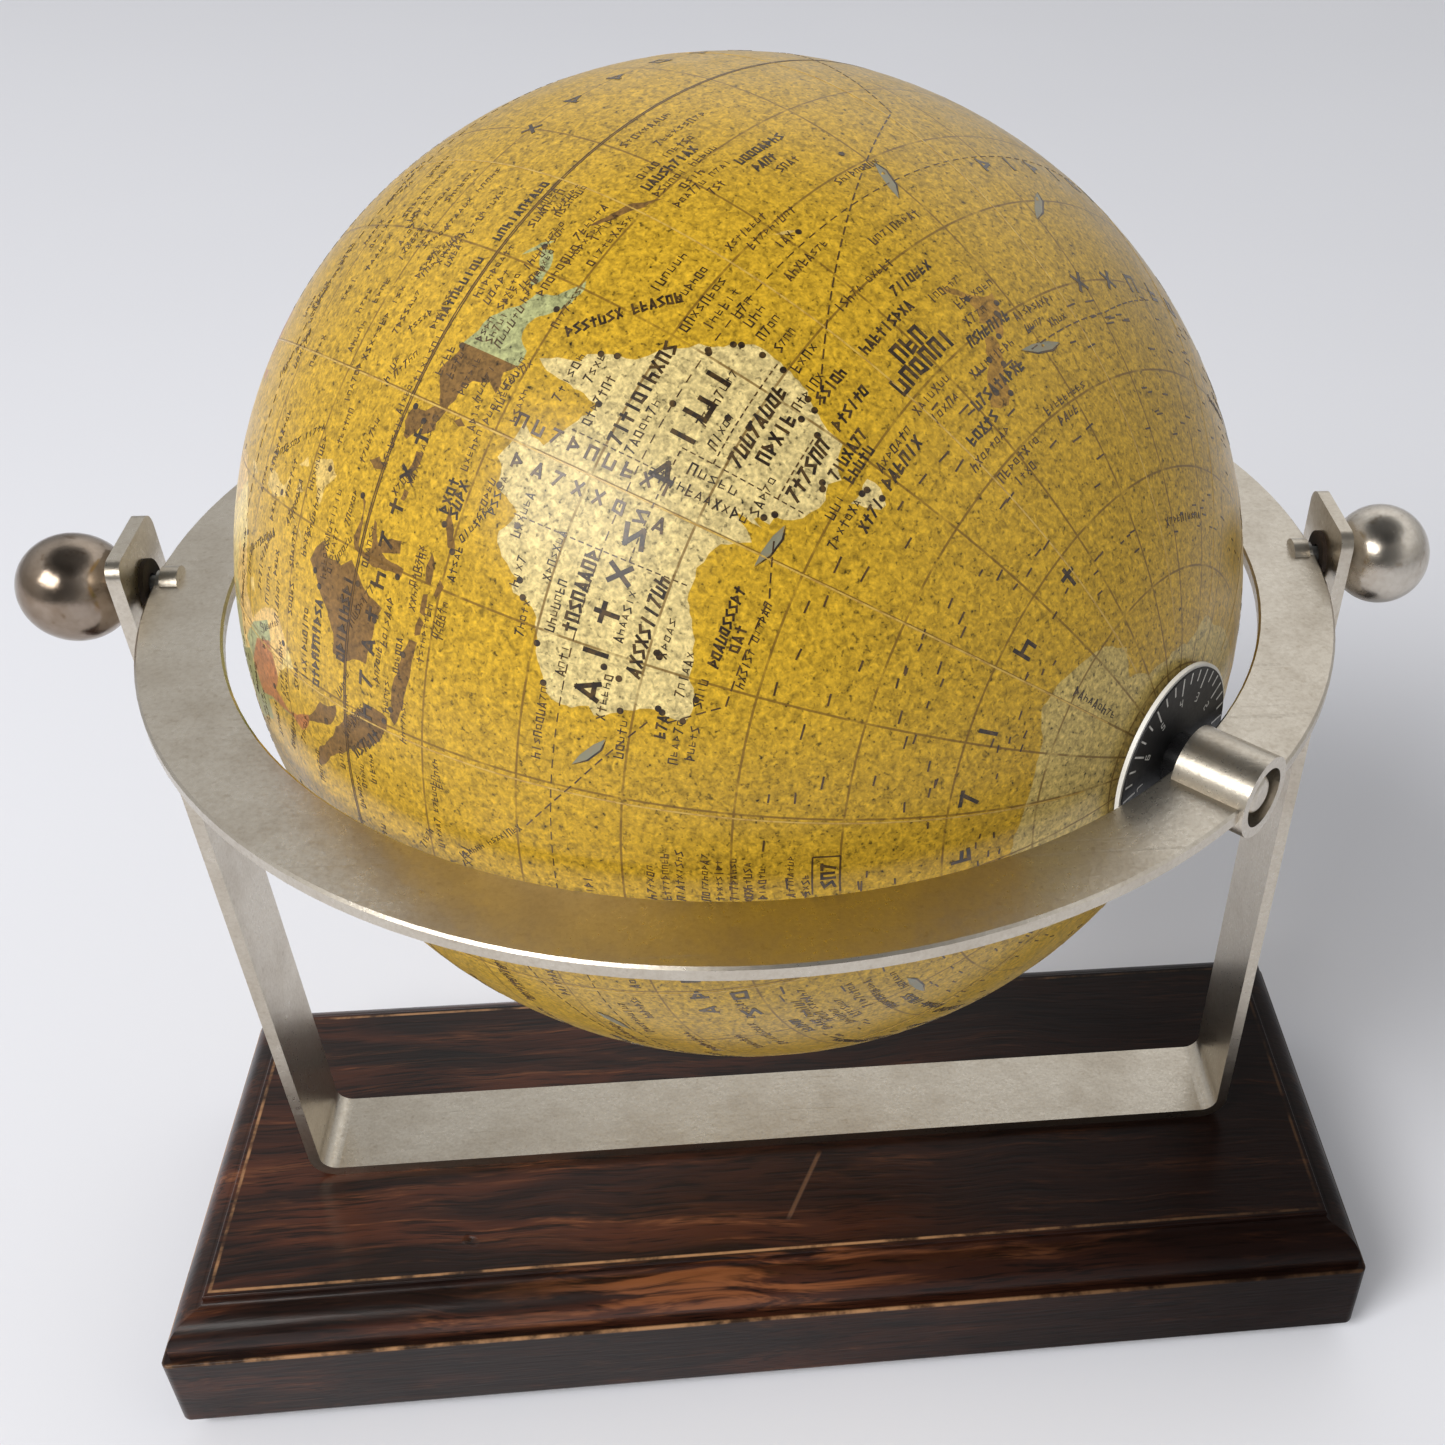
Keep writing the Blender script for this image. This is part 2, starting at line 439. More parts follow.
# Coasts as latitude, longitude in degrees. A tint of None means the many-coloured mainland.
COASTS = [
    ("cream", """-10.6 142.5 -12.6 143.4 -14.2 143.8 -14.4 144.7 -15.5 145.3 -16.9 145.9 -18.5 146.3
     -19.3 147.2 -20.2 148.6 -21.2 149.2 -22.4 150.6 -23.6 151 -24.9 152.4 -25.9 153.1
     -28 153.5 -30.3 153.2 -32.5 152.5 -34 151.2 -35.8 150.2 -37.5 149.9 -37.8 148.4
     -38.4 147.1 -39.1 146.4 -38.3 145.2 -38.8 143.5 -38.2 141.5 -37.2 139.8 -35.7 139.2
     -35.6 138.2 -34.5 138.4 -34.2 138 -35.2 137.5 -34.2 137.5 -32.7 137.8 -33.9 136.8
     -34.9 135.7 -33.7 134.9 -32.6 134.2 -32 132.8 -31.5 131 -31.7 129 -32.3 126.5
     -33.5 124 -33.9 122 -33.9 120 -35 118 -34.9 116.5 -34.3 115.1 -33.5 115.2
     -31.9 115.7 -30 115 -28.5 114.3 -26.6 113.4 -26 114.2 -24.5 113.5 -22.6 113.8
     -22 114.3 -21.6 115.3 -20.7 117 -20.3 118.8 -19.7 120.9 -18.3 122.2 -17 122.3
     -16.6 123 -17.3 123.7 -16.3 124 -15 125 -14.2 126 -14 127 -14.8 128.2
     -15 129.2 -14 129.8 -12.9 130.3 -12.3 131 -12 132.5 -11.3 133 -11.9 134.5
     -12.2 136 -12.2 136.9 -13.5 135.9 -14.9 135.6 -15.8 137.2 -16.5 138.5 -17.5 140.2
     -17.6 141 -16 141.4 -14 141.6 -12.6 141.7 -11.2 142.1"""),
    ("cream", "-40.8 144.7 -41.1 146.5 -40.9 148.2 -42.3 148.2 -43.5 146.9 -43.3 146 -42 145.2"),
    ("sage", """-0.9 131.3 -0.4 132.5 -0.8 134.1 -2.2 134.1 -3.4 135.1 -2.2 137 -1.6 138 -2.6 141
     -3.8 144.2 -5.5 145.8 -6.7 147.8 -8.6 148.4 -10.2 150.8 -10.6 150 -10.1 147.8
     -9.4 147 -8 145.6 -7.7 144 -8.4 143 -9.1 142.6 -9.1 141 -8.1 140 -8.4 138
     -7.3 138.7 -5.6 138.2 -4.9 137 -4.4 135.3 -3.9 133.5 -4.1 132.9 -2.8 132 -2.5 133.2
     -2.2 132.1 -1.4 131.1"""),
    ("sage", "-5.4 148.4 -5.5 150 -4.2 151.8 -5.3 152.1 -6.2 150.5 -6.3 149 -5.8 148.3"),
    ("sage", "-2.6 150.6 -3.6 152.4 -4.7 153.1 -4 152.2 -3.1 151"),
    ("brown", "-6.6 155.8 -7.4 157.4 -8.2 159.6 -9.6 160.9 -10.6 161.9 -9.7 160 -8.4 158 -7.2 156.2"),
    ("tan", "-20.2 164 -21.5 165.9 -22.4 167 -21.9 165.8 -20.9 164.6"),
    ("umber", """-34.5 172.8 -36 174.9 -36.9 175.8 -37.6 177 -37.7 178.5 -39.2 177.9 -40.4 176.6
     -41.6 175.3 -41.2 174.7 -40.2 175.2 -39.3 173.8 -38.6 174.7 -37 174.6 -35.5 173.4"""),
    ("umber", """-40.6 172.8 -41 174.2 -42.4 173.7 -43.6 172.8 -44.4 171.3 -45.9 170.7 -46.6 169
     -46.3 167.6 -45.6 166.6 -44 168.6 -42.6 171 -41.7 171.5"""),
    ("brown", """7 116.8 5.4 119.2 4.2 117.9 2.2 117.9 0.9 118.9 -0.8 117.5 -2.4 116.5 -4 116
     -3.4 114.5 -3.2 112.5 -2.9 111.3 -2.8 110.1 -1.3 110 0.3 109 1.9 109.4 2 111.3
     3.2 113.1 4.6 114.3 5.7 115.8"""),
    ("brown", """5.6 95.4 5.2 97.5 3.8 98.7 2.5 100.2 1.6 101.8 0.2 103.4 -1.1 104.3 -2.3 105.4
     -3.2 106 -5.8 105.7 -5.7 104.6 -4.1 102.4 -2.5 101.2 -0.8 100.4 0.9 99 2 98.5
     3.4 97.2 4.5 96"""),
    ("brown", """-6.1 106 -6.2 108.3 -6.8 110.7 -7 112.8 -7.7 114.4 -8.6 114.4 -8.3 112.5
     -8.1 110.3 -7.7 108.4 -7.2 106.4 -6.7 105.4"""),
    ("brown", "-8.2 114.9 -8.4 116.8 -9 116.4 -8.8 115.2"),
    ("brown", "-8.3 117.2 -8.3 118.9 -8.8 119.1 -9 117"),
    ("brown", "-8.3 119.9 -8.2 122.8 -8.8 121.8 -8.9 120"),
    ("brown", "-9.4 119.2 -9.7 120.8 -10.3 120.3 -9.8 119.1"),
    ("brown", "-8.6 125.6 -8.4 127.2 -9.4 126 -10.4 123.8 -9.6 123.8"),
    ("brown", """1.6 125.1 0.9 124.4 0.5 122.5 0.4 120.4 -0.6 120.1 -1.3 120.8 -0.8 123.3 -1.2 123.1
     -1.9 121.5 -3.4 122.4 -4.6 122.6 -4.8 121.5 -3.3 121 -2.7 120.8 -4 120.4 -5.6 120.3
     -5.5 119.5 -3.5 119.4 -2 119.2 -0.2 119.7 0.9 120.1 1.3 121 0.9 123"""),
    ("brown", "2.1 128 1 128.7 -0.8 128 0.2 127.7 1.2 127.5"),
    ("brown", "-2.9 128 -3 130.5 -3.8 130.6 -3.4 128.2"),
    ("brown", "-3.1 126 -3.2 127 -3.8 126.9 -3.6 126"),
    ("brown", "-5.6 134.3 -6.2 134.8 -7 134.3 -6.3 134"),
    ("tan", "18.5 120.7 18.3 122.2 16.5 122.3 14.5 121.7 12.9 124 13.8 120.7 16.3 119.9"),
    ("tan", "8.2 123.2 9.8 125.5 7.3 126.5 5.8 125.3 7 124 7.3 122"),
    ("tan", "11.8 122 11.4 123.1 10.5 122.3"),
    ("tan", "12.5 124.4 11.3 125.6 10.6 124.8"),
    ("tan", "11.3 119.5 8.4 117.2 10 118.9"),
    (None, """66 190 64.6 184 62.5 179.5 60.2 170.5 59.9 163.5 56.1 162.5 51 156.8 55 155.6
     58.5 158.5 61.7 163 59.4 153 59.3 148 54.3 138 54 140.5 51.5 140.6 46.5 138.2
     43 132 39.8 127.5 38 128.6 35.3 129.3 34.5 126.4 37.8 124.9 39.8 124.3 38.9 121.5
     40.8 121 39 118 37.6 118.9 37.2 122.3 35 119.3 31.5 121.8 28.2 121.3 25 118.8
     22.7 115 21.6 110.5 21.5 108.2 19 105.7 16 108.2 12.5 109.3 10.4 107.2 8.7 104.8
     10.4 104.3 12.6 101.8 13.4 100.4 10.5 99.2 7.2 100.5 4 103.4 1.4 104.2 1.3 103.5
     3 101.3 6.3 100.2 8 98.3 12 98.7 16.4 97.6 15.9 95.3 17.5 94.5 20.5 92.6 22.6 91.5
     21.7 88.5 20 86.5 16.5 82.2 13.1 80.3 10.3 79.8 8.1 77.5 11.2 75.8 15.4 73.8 19 72.8
     21 72.2 20.8 70.8 22.3 69.2 24.5 67.2 25.3 62.5 25.4 58.5 27 56.6 27.5 52.6 30 50.2
     30 48 27 49.8 24.5 51.5 24.2 54 26.2 56.3 24 57 22.5 59.7 20 57.8 17 54.5
     14.5 49 12.8 45 13 43.3 17 42.4 21.5 39.1 25.5 36.7 28 34.7 29.9 32.6 31.3 32.3
     31.5 34.4 33.5 35.3 36.6 36 36.9 30.6 36.8 28 39 26.6 41.1 29.1 41.9 33.3 41 38
     42.5 41.5 45.2 36.8 44.5 33.6 46.2 31.5 44.8 29.6 42 28 40.7 26 40.5 23.5 37.8 24
     36.6 22.5 38.8 21 41.5 19.4 44 15.3 45.6 13.6 44.2 12.4 42 14.6 40 18.4 38 15.9
     41.3 12.8 43.5 10.3 44.3 8.6 43.2 6 43.3 3.5 41.4 2.2 39.5 -0.3 36.8 -2.2 36.1 -5.5
     37 -7.8 38.8 -9.4 43.2 -9.2 43.5 -3.5 46 -1.3 48.5 -4.7 49.6 -1.4 51 1.9 53.4 6
     55.5 8.2 57.6 10.5 54.5 10.5 54.2 14 54.7 19.9 57.5 22 59.5 25 59.9 30 60.3 25
     60 22.5 65 25.2 62.8 18 60.5 17.3 56.2 16 55.4 13 59 11 58.1 7.5 61.9 5
     67.5 14 71 25.8 69.5 32 67.8 40.5 64.2 38 66.2 43.8 68.5 45 68.7 54 73 69
     73.5 80.5 76.2 98 77.7 104.3 73.8 110 73 122 71.5 130 72.3 140.5 69.6 161
     70 171 68.8 181.5"""),
    (None, """35.8 -5.9 37 10 33.8 10.5 32.5 15 31 20 32.5 22.5 31.3 29 31.5 32.2 29.9 32.4
     27 33.8 22 36.8 18 38.3 12.5 43.2 11.5 44.5 11.8 51.2 5 48.3 -1.7 41.6 -5 39.2
     -10.5 40.5 -15 40.7 -19.8 34.9 -25.5 32.8 -29.8 31 -34 25.8 -34.8 20 -33 17.9
     -28.5 16.5 -22.9 14.5 -17.3 11.8 -12 13.7 -6 12.3 -0.7 8.8 3.9 9.6 4.4 6 6.4 3.4
     4.8 -2 4.4 -7.5 8.5 -13.2 12.5 -16.7 14.7 -17.5 20.8 -17 26 -14.4 29 -10.2
     33.6 -7.6"""),
    ("sage", "-12 49.3 -15.7 50.4 -25 47 -25.4 45.1 -21.5 43.4 -16.2 44.4"),
    ("orange", "58.6 -4.9 57.6 -2 53 0.3 51.3 1.4 50.1 -5.4 52 -4 54.8 -3.5 56.8 -6"),
    ("green", "55.2 -7.3 54 -5.7 52.2 -6.5 51.6 -9.8 54.2 -9.9"),
    ("sage", "66.4 -16 64.8 -13.8 63.5 -19 64 -22.5 65.6 -24.3"),
    ("orange", """41.3 141.2 38.3 141.5 35.7 140.8 33.6 135.8 34 131 35.6 134 37.3 137
     39.5 139.9"""),
    ("orange", "45.4 141.9 43.3 145.5 42 143.2 41.6 140.5 43.3 140.7"),
    ("orange", "33.9 131 31.3 131.1 31.3 130.3 33 129.7"),
    ("tan", "25.2 121.6 22 120.8 23.5 120.1"),
    ("tan", "20 110 19 110.4 18.4 109 19.4 108.8"),
    ("green", "9.7 80 7.5 81.8 6 80.5 8 79.8"),
    ("tan", "54.3 142.6 49 144.4 46 143.4 46.1 142 50 142.1"),
    ("tan", "76.8 68 73 57.5 70.8 55.5 74 54.5"),
    (None, """65.6 -168 63 -164.5 58.5 -157.5 55 -163 58.8 -153.5 61 -150 59.9 -144
     58.2 -136.5 54.5 -130.7 49 -123.5 46 -124 40.4 -124.4 34.5 -120.5 32.5 -117.1
     27.5 -115 23 -110 31.5 -114.7 27 -110 21 -105.5 16.5 -98.5 16 -94.5
     13.5 -89.8 11 -85.8 8.5 -83 8.6 -79 9.5 -79.9 10.9 -83.7 15.9 -83.8 15.9 -88.5
     21.5 -87 21 -90.3 18.5 -92 19.2 -96 22.5 -97.8 27.8 -97.2 29.5 -94.5 29.2 -89.6
     30.3 -86 29 -83 25.3 -81 27 -80.1 31 -81.4 35.2 -75.6 39 -74.8 41.6 -70.4
     44.8 -67 43.6 -65.6 46 -60 48 -64.5 52.3 -55.7 56.8 -61.5 60.3 -64.5 58.5 -68
     62.3 -74 59 -78.3 54.5 -79.5 51.3 -80 55.2 -83 57 -92.4 60 -94.6 66 -86
     69 -90 68 -98 68 -109 69.6 -120 69.5 -133 71.2 -156.5 68.5 -166"""),
    (None, """8.6 -78.9 7.6 -77 11.8 -71.8 10.6 -66 10.6 -62 6 -57 4.3 -51.7 -0.2 -50
     -2.8 -42 -5.2 -35.4 -8.2 -34.8 -13 -38.5 -22.9 -42 -25.5 -48.4 -32 -52.2
     -34.8 -55.5 -36.5 -56.8 -38.8 -62.2 -42.5 -64 -47 -65.9 -52.3 -68.4 -54.9 -66
     -55.5 -69 -51.5 -75 -45 -74.5 -37.2 -73.6 -30 -71.5 -18.4 -70.4 -14 -76.3
     -6 -81.1 -2.2 -80.9 1 -79.8 4 -77.5 7 -78.2"""),
    ("cream", """83.5 -33 81.5 -13 76 -19.5 70.5 -22.5 65.5 -38.5 59.9 -43.8 64 -51.5
     69.5 -51.5 75.8 -60 78 -72.5 81.8 -62"""),
    ("sage", "73.5 -85 70 -68.5 66.5 -61.8 62.5 -66 64.5 -77.5 70 -85"),
    ("sage", "73 -112 72.5 -105 69 -102 68.8 -115.5"),
    ("sage", "83 -70 79 -75.5 76.5 -82 79.5 -92 82 -85"),
    ("orange", "23 -81 20.2 -74.3 20 -77.5 22.3 -84"),
    ("green", "19.8 -72.8 18.6 -68.5 17.8 -71.5 18.4 -74.2"),
    ("pale", """-69.5 -2 -70 12 -69.5 30 -67 46 -66.5 54 -67.7 60 -69.5 73 -67.2 80 -67.4 90
     -68.4 101 -68.6 117 -66.8 131 -67.8 140 -69.6 151 -72.8 160.5 -75.6 155 -77.8 165
     -78.3 182 -78 200 -77 208 -75 220 -74.5 240 -73 260 -73.5 274 -70 286 -65 297
     -63.3 302 -66 299 -70 299 -75 299 -78 312 -78 325 -75 338 -71.5 350"""),
]
# Tints laid over part of a coloured coast: the tint, the coast's place in COASTS and an outline.
NEW_GUINEA, ASIA = 2, 27
OVERLAYS = [
    ("brown", NEW_GUINEA, "1 129 1 141 -10 141 -10 129"),
    ("orange", ASIA, """20.4 100.2 18 104 14.4 105.5 12.6 102.6 12 101 6.6 101.6 5.6 98
     15 98.4 18 97.4"""),
    ("brown", ASIA, "6.4 99 6.2 103.6 0.5 105 0.8 101.5"),
    ("green", ASIA, "28 97.4 21.5 101 18 97.4 15 98.6 9.5 99 9.5 96 16 93 21 91.6"),
    ("sage", ASIA, "22.4 102 19 105.4 14.6 107.6 13.8 105.6 18 104 20.4 100.2"),
]


def points_of(text):
    """(latitude, longitude) pairs from a string of alternating numbers."""
    numbers = [float(word) for word in text.split()]
    return list(zip(numbers[0::2], numbers[1::2]))


def roughened(points, draw, longest=0.9, amount=0.11):
    """A closed outline with its long edges broken into short ones that wander a little."""
    result = []
    for start, end in zip(points, points[1:] + points[:1]):
        nearest = start[1] + (end[1] - start[1] + 180) % 360 - 180
        run = [start, (end[0], nearest)]
        while True:
            finer = [run[0]]
            long_edge = False
            for a, b in zip(run, run[1:]):
                shrink = max(0.15, math.cos(math.radians((a[0] + b[0]) / 2)))
                step = math.hypot(b[0] - a[0], (b[1] - a[1]) * shrink)
                if step > longest:
                    long_edge = True
                    push = draw.uniform(-amount, amount)
                    finer.append(((a[0] + b[0]) / 2 + push * (b[1] - a[1]) * shrink,
                                  (a[1] + b[1]) / 2 - push * (b[0] - a[0]) / shrink))
                finer.append(b)
            run = finer
            if not long_edge:
                break
        result += run[:-1]
    return result


def divided(points, longest=0.9):
    """A closed outline with its long edges divided evenly."""
    return roughened(points, random.Random(0), longest, 0.0)


def inside(px, py, outline):
    """Which of the points lie inside a closed plane outline."""
    hit = np.zeros(len(px), bool)
    for (x0, y0), (x1, y1) in zip(outline, outline[1:] + outline[:1]):
        if y0 == y1:
            continue
        crosses = (y0 > py) != (y1 > py)
        hit ^= crosses & (px < (x1 - x0) * (py - y0) / (y1 - y0) + x0)
    return hit


EQUATOR = 90.0                           # its distance from either pole, in degrees


def to_plane(latitude, longitude, side):
    """Azimuthal equidistant about the north (side 1) or south (side -1) pole, in degrees."""
    away = 90 - side * latitude
    angle = math.radians(longitude)
    return away * math.cos(angle), away * math.sin(angle)


def on_sphere(px, py, side, radius):
    """Plane points back to the globe's own frame."""
    away = np.radians(np.hypot(px, py))
    angle = np.arctan2(py, px)
    return np.stack([radius * np.sin(away) * np.cos(angle), radius * np.sin(away) * np.sin(angle),
                     side * radius * np.cos(away)], axis=1)


MAP_SPACING, INNER_SPACING = 2.4, 7.5    # degrees between the loose points of a shell's two faces


def triangulated(loops, coast_lines, spacing, hole):
    """Constrained triangles between the equator loop and the pole loop, in the plane."""
    points, edges = [], []

    def add_loop(loop):
        first = len(points)
        points.extend(Vector(p) for p in loop)
        edges.extend((first + i, first + (i + 1) % len(loop)) for i in range(len(loop)))

    for loop in loops + coast_lines:
        add_loop(loop)
    rings = int((EQUATOR - hole) / spacing)
    for k in range(1, rings):
        away = hole + (EQUATOR - hole) * k / rings
        count = max(12, int(360 * math.sin(math.radians(away)) / spacing))
        for i in range(count):
            angle = 2 * math.pi * (i + 0.5 * (k % 2)) / count
            points.append(Vector((away * math.cos(angle), away * math.sin(angle))))
    verts, _, faces, _, _, _ = delaunay_2d_cdt(points, edges, [], 0, 1e-6)
    flat = np.array([(v.x, v.y) for v in verts])
    away = np.hypot(flat[:, 0], flat[:, 1])
    rim = np.abs(away - EQUATOR) < 0.03
    flat[rim] *= (EQUATOR / away[rim])[:, None]
    triangles = np.array([f for f in faces if len(f) == 3])
    middle = flat[triangles].mean(axis=1)
    keep = inside(middle[:, 0], middle[:, 1], loops[0]) & ~inside(middle[:, 0], middle[:, 1],
                                                                  loops[1])
    _, first, weld = np.unique(np.round(flat, 3), axis=0, return_index=True, return_inverse=True)
    triangles = first[weld.ravel()][triangles[keep]]
    distinct = ((triangles[:, 0] != triangles[:, 1]) & (triangles[:, 1] != triangles[:, 2])
                & (triangles[:, 2] != triangles[:, 0]))
    return flat, triangles[distinct]


def circle_plane(away, angles):
    return [(away * math.cos(a), away * math.sin(a)) for a in angles]


def even_angles(count):
    return [2 * math.pi * i / count for i in range(count)]


def border_loop(flat, triangles, wanted):
    """Indices of the border vertices whose distance from the pole is near wanted, by angle."""
    count = {}
    for t in triangles:
        for a, b in ((t[0], t[1]), (t[1], t[2]), (t[2], t[0])):
            key = (min(a, b), max(a, b))
            count[key] = count.get(key, 0) + 1
    border = sorted({i for key, n in count.items() if n == 1 for i in key})
    away = np.hypot(flat[border, 0], flat[border, 1])
    chosen = [i for i, d in zip(border, away) if abs(d - wanted) < 1.0]
    return sorted(chosen, key=lambda i: math.atan2(flat[i, 1], flat[i, 0]))


def reaches(outline):
    """Whether a plane outline comes onto the half that it is laid out for."""
    return any(math.hypot(*p) < EQUATOR - 1 for p in outline)


def coloured_areas(middle, planes, overlays):
    """Each triangle's tint by its middle, and 1 where it is part of the many-coloured mainland."""
    tints = np.tile(np.array(OCEAN), (len(middle), 1))
    generic = np.zeros(len(middle))
    members = []
    for tint, outline in planes:
        hit = inside(middle[:, 0], middle[:, 1], outline) if reaches(outline) else None
        members.append(hit)
        if hit is None:
            continue
        generic[hit] = 1.0 if tint is None else 0.0
        if tint is not None:
            tints[hit] = TINTS[tint]
    for tint, index, outline in overlays:
        if members[index] is None or not reaches(outline):
            continue
        hit = members[index] & inside(middle[:, 0], middle[:, 1], outline)
        tints[hit] = TINTS[tint]
        generic[hit] = 0.0
    return tints, generic


class Skin:
    """Faces of one shell with their corner normals, tints and mainland marks."""

    def __init__(self, side):
        self.side = side
        self.faces, self.normals, self.tints, self.generic = [], [], [], []

    def add(self, face, corner_normals, tint=OCEAN, generic=0.0):
        if self.side < 0:
            face, corner_normals = face[::-1], corner_normals[::-1]
        self.faces.append(face)
        self.normals.extend(corner_normals)
        self.tints.extend([tint] * len(face))
        self.generic.extend([generic] * len(face))

    def make(self, name, verts):
        mesh = bpy.data.meshes.new(name)
        mesh.from_pydata([tuple(v) for v in verts], [], self.faces)
        tint_layer = mesh.attributes.new("map_tint", "FLOAT_COLOR", "CORNER")
        tint_layer.data.foreach_set("color", np.array(self.tints, np.float32).ravel())
        generic_layer = mesh.attributes.new("map_generic", "FLOAT", "CORNER")
        generic_layer.data.foreach_set("value", np.array(self.generic, np.float32))
        mesh.polygons.foreach_set("use_smooth", [True] * len(mesh.polygons))
        mesh.transform(GLOBE_FRAME)
        turn = GLOBE_FRAME.to_3x3()
        mesh.normals_split_custom_set([turn @ normal for normal in self.normals])
        mesh.materials.append(PAPER)
        return placed(name, mesh)


def build_shell(name, side):
    """One closed half of the hollow globe; its outer face carries the map's coloured areas."""
    draw = random.Random(7 if side > 0 else 11)
    coasts = [(tint, roughened(points_of(text), draw)) for tint, text in COASTS]
    planes = [(tint, [to_plane(a, b, side) for a, b in outline]) for tint, outline in coasts]
    overlays = [(tint, index, [to_plane(a, b, side) for a, b in divided(points_of(text))])
                for tint, index, text in OVERLAYS]
    lines = [outline for _, outline in planes if reaches(outline)]
    lines += [outline for _, _, outline in overlays if reaches(outline)]

    hole = math.degrees(math.asin(POLE_HOLE / GLOBE_RADIUS))
    loops = [circle_plane(EQUATOR, even_angles(240)), circle_plane(hole, even_angles(48))]
    flat, triangles = triangulated(loops, lines, MAP_SPACING, hole)
    rim = border_loop(flat, triangles, EQUATOR)
    mouth = border_loop(flat, triangles, hole)
    tints, generic = coloured_areas(flat[triangles].mean(axis=1), planes, overlays)

    # the inside follows the outside's rim and mouth point for point
    rim_angles, mouth_angles = ([math.atan2(flat[i, 1], flat[i, 0]) for i in loop]
                                for loop in (rim, mouth))
    inner_hole = math.degrees(math.asin(POLE_HOLE / SHELL_INNER))
    inner_loops = [circle_plane(EQUATOR, rim_angles), circle_plane(inner_hole, mouth_angles)]
    inner_flat, inner_triangles = triangulated(inner_loops, [], INNER_SPACING, inner_hole)
    inner_rim = border_loop(inner_flat, inner_triangles, EQUATOR)
    inner_mouth = border_loop(inner_flat, inner_triangles, inner_hole)

    outer = on_sphere(flat[:, 0], flat[:, 1], side, GLOBE_RADIUS)
    inner = on_sphere(inner_flat[:, 0], inner_flat[:, 1], side, SHELL_INNER)
    used_outer = sorted(set(triangles.ravel()))
    used_inner = sorted(set(inner_triangles.ravel()))
    index_outer = {v: i for i, v in enumerate(used_outer)}
    index_inner = {v: i + len(used_outer) for i, v in enumerate(used_inner)}
    verts = np.concatenate([outer[used_outer], inner[used_inner]])

    skin = Skin(side)
    for triangle, tint, is_generic in zip(triangles, tints, generic):
        face = [index_outer[i] for i in triangle]
        skin.add(face, [Vector(verts[i]).normalized() for i in face], tint, is_generic)
    for triangle in inner_triangles:
        face = [index_inner[i] for i in triangle][::-1]
        skin.add(face, [-Vector(verts[i]).normalized() for i in face])
    for outer_loop, inner_loop, turn in ((rim, inner_rim, 1), (mouth, inner_mouth, -1)):
        for k in range(len(outer_loop)):
            a, b = outer_loop[k], outer_loop[(k + 1) % len(outer_loop)]
            c, d = inner_loop[(k + 1) % len(inner_loop)], inner_loop[k]
            face = [index_outer[b], index_outer[a], index_inner[d], index_inner[c]][::turn]
            p, q, r = (Vector(verts[i]) for i in face[:3])
            skin.add(face, [(q - p).cross(r - q).normalized() * side] * 4)
    return skin.make(name, verts)


# ---------------------------------------------------------------- print on the map

INK_LOW, INK_HIGH = GLOBE_RADIUS - 0.04 * MM, GLOBE_RADIUS + 0.025 * MM

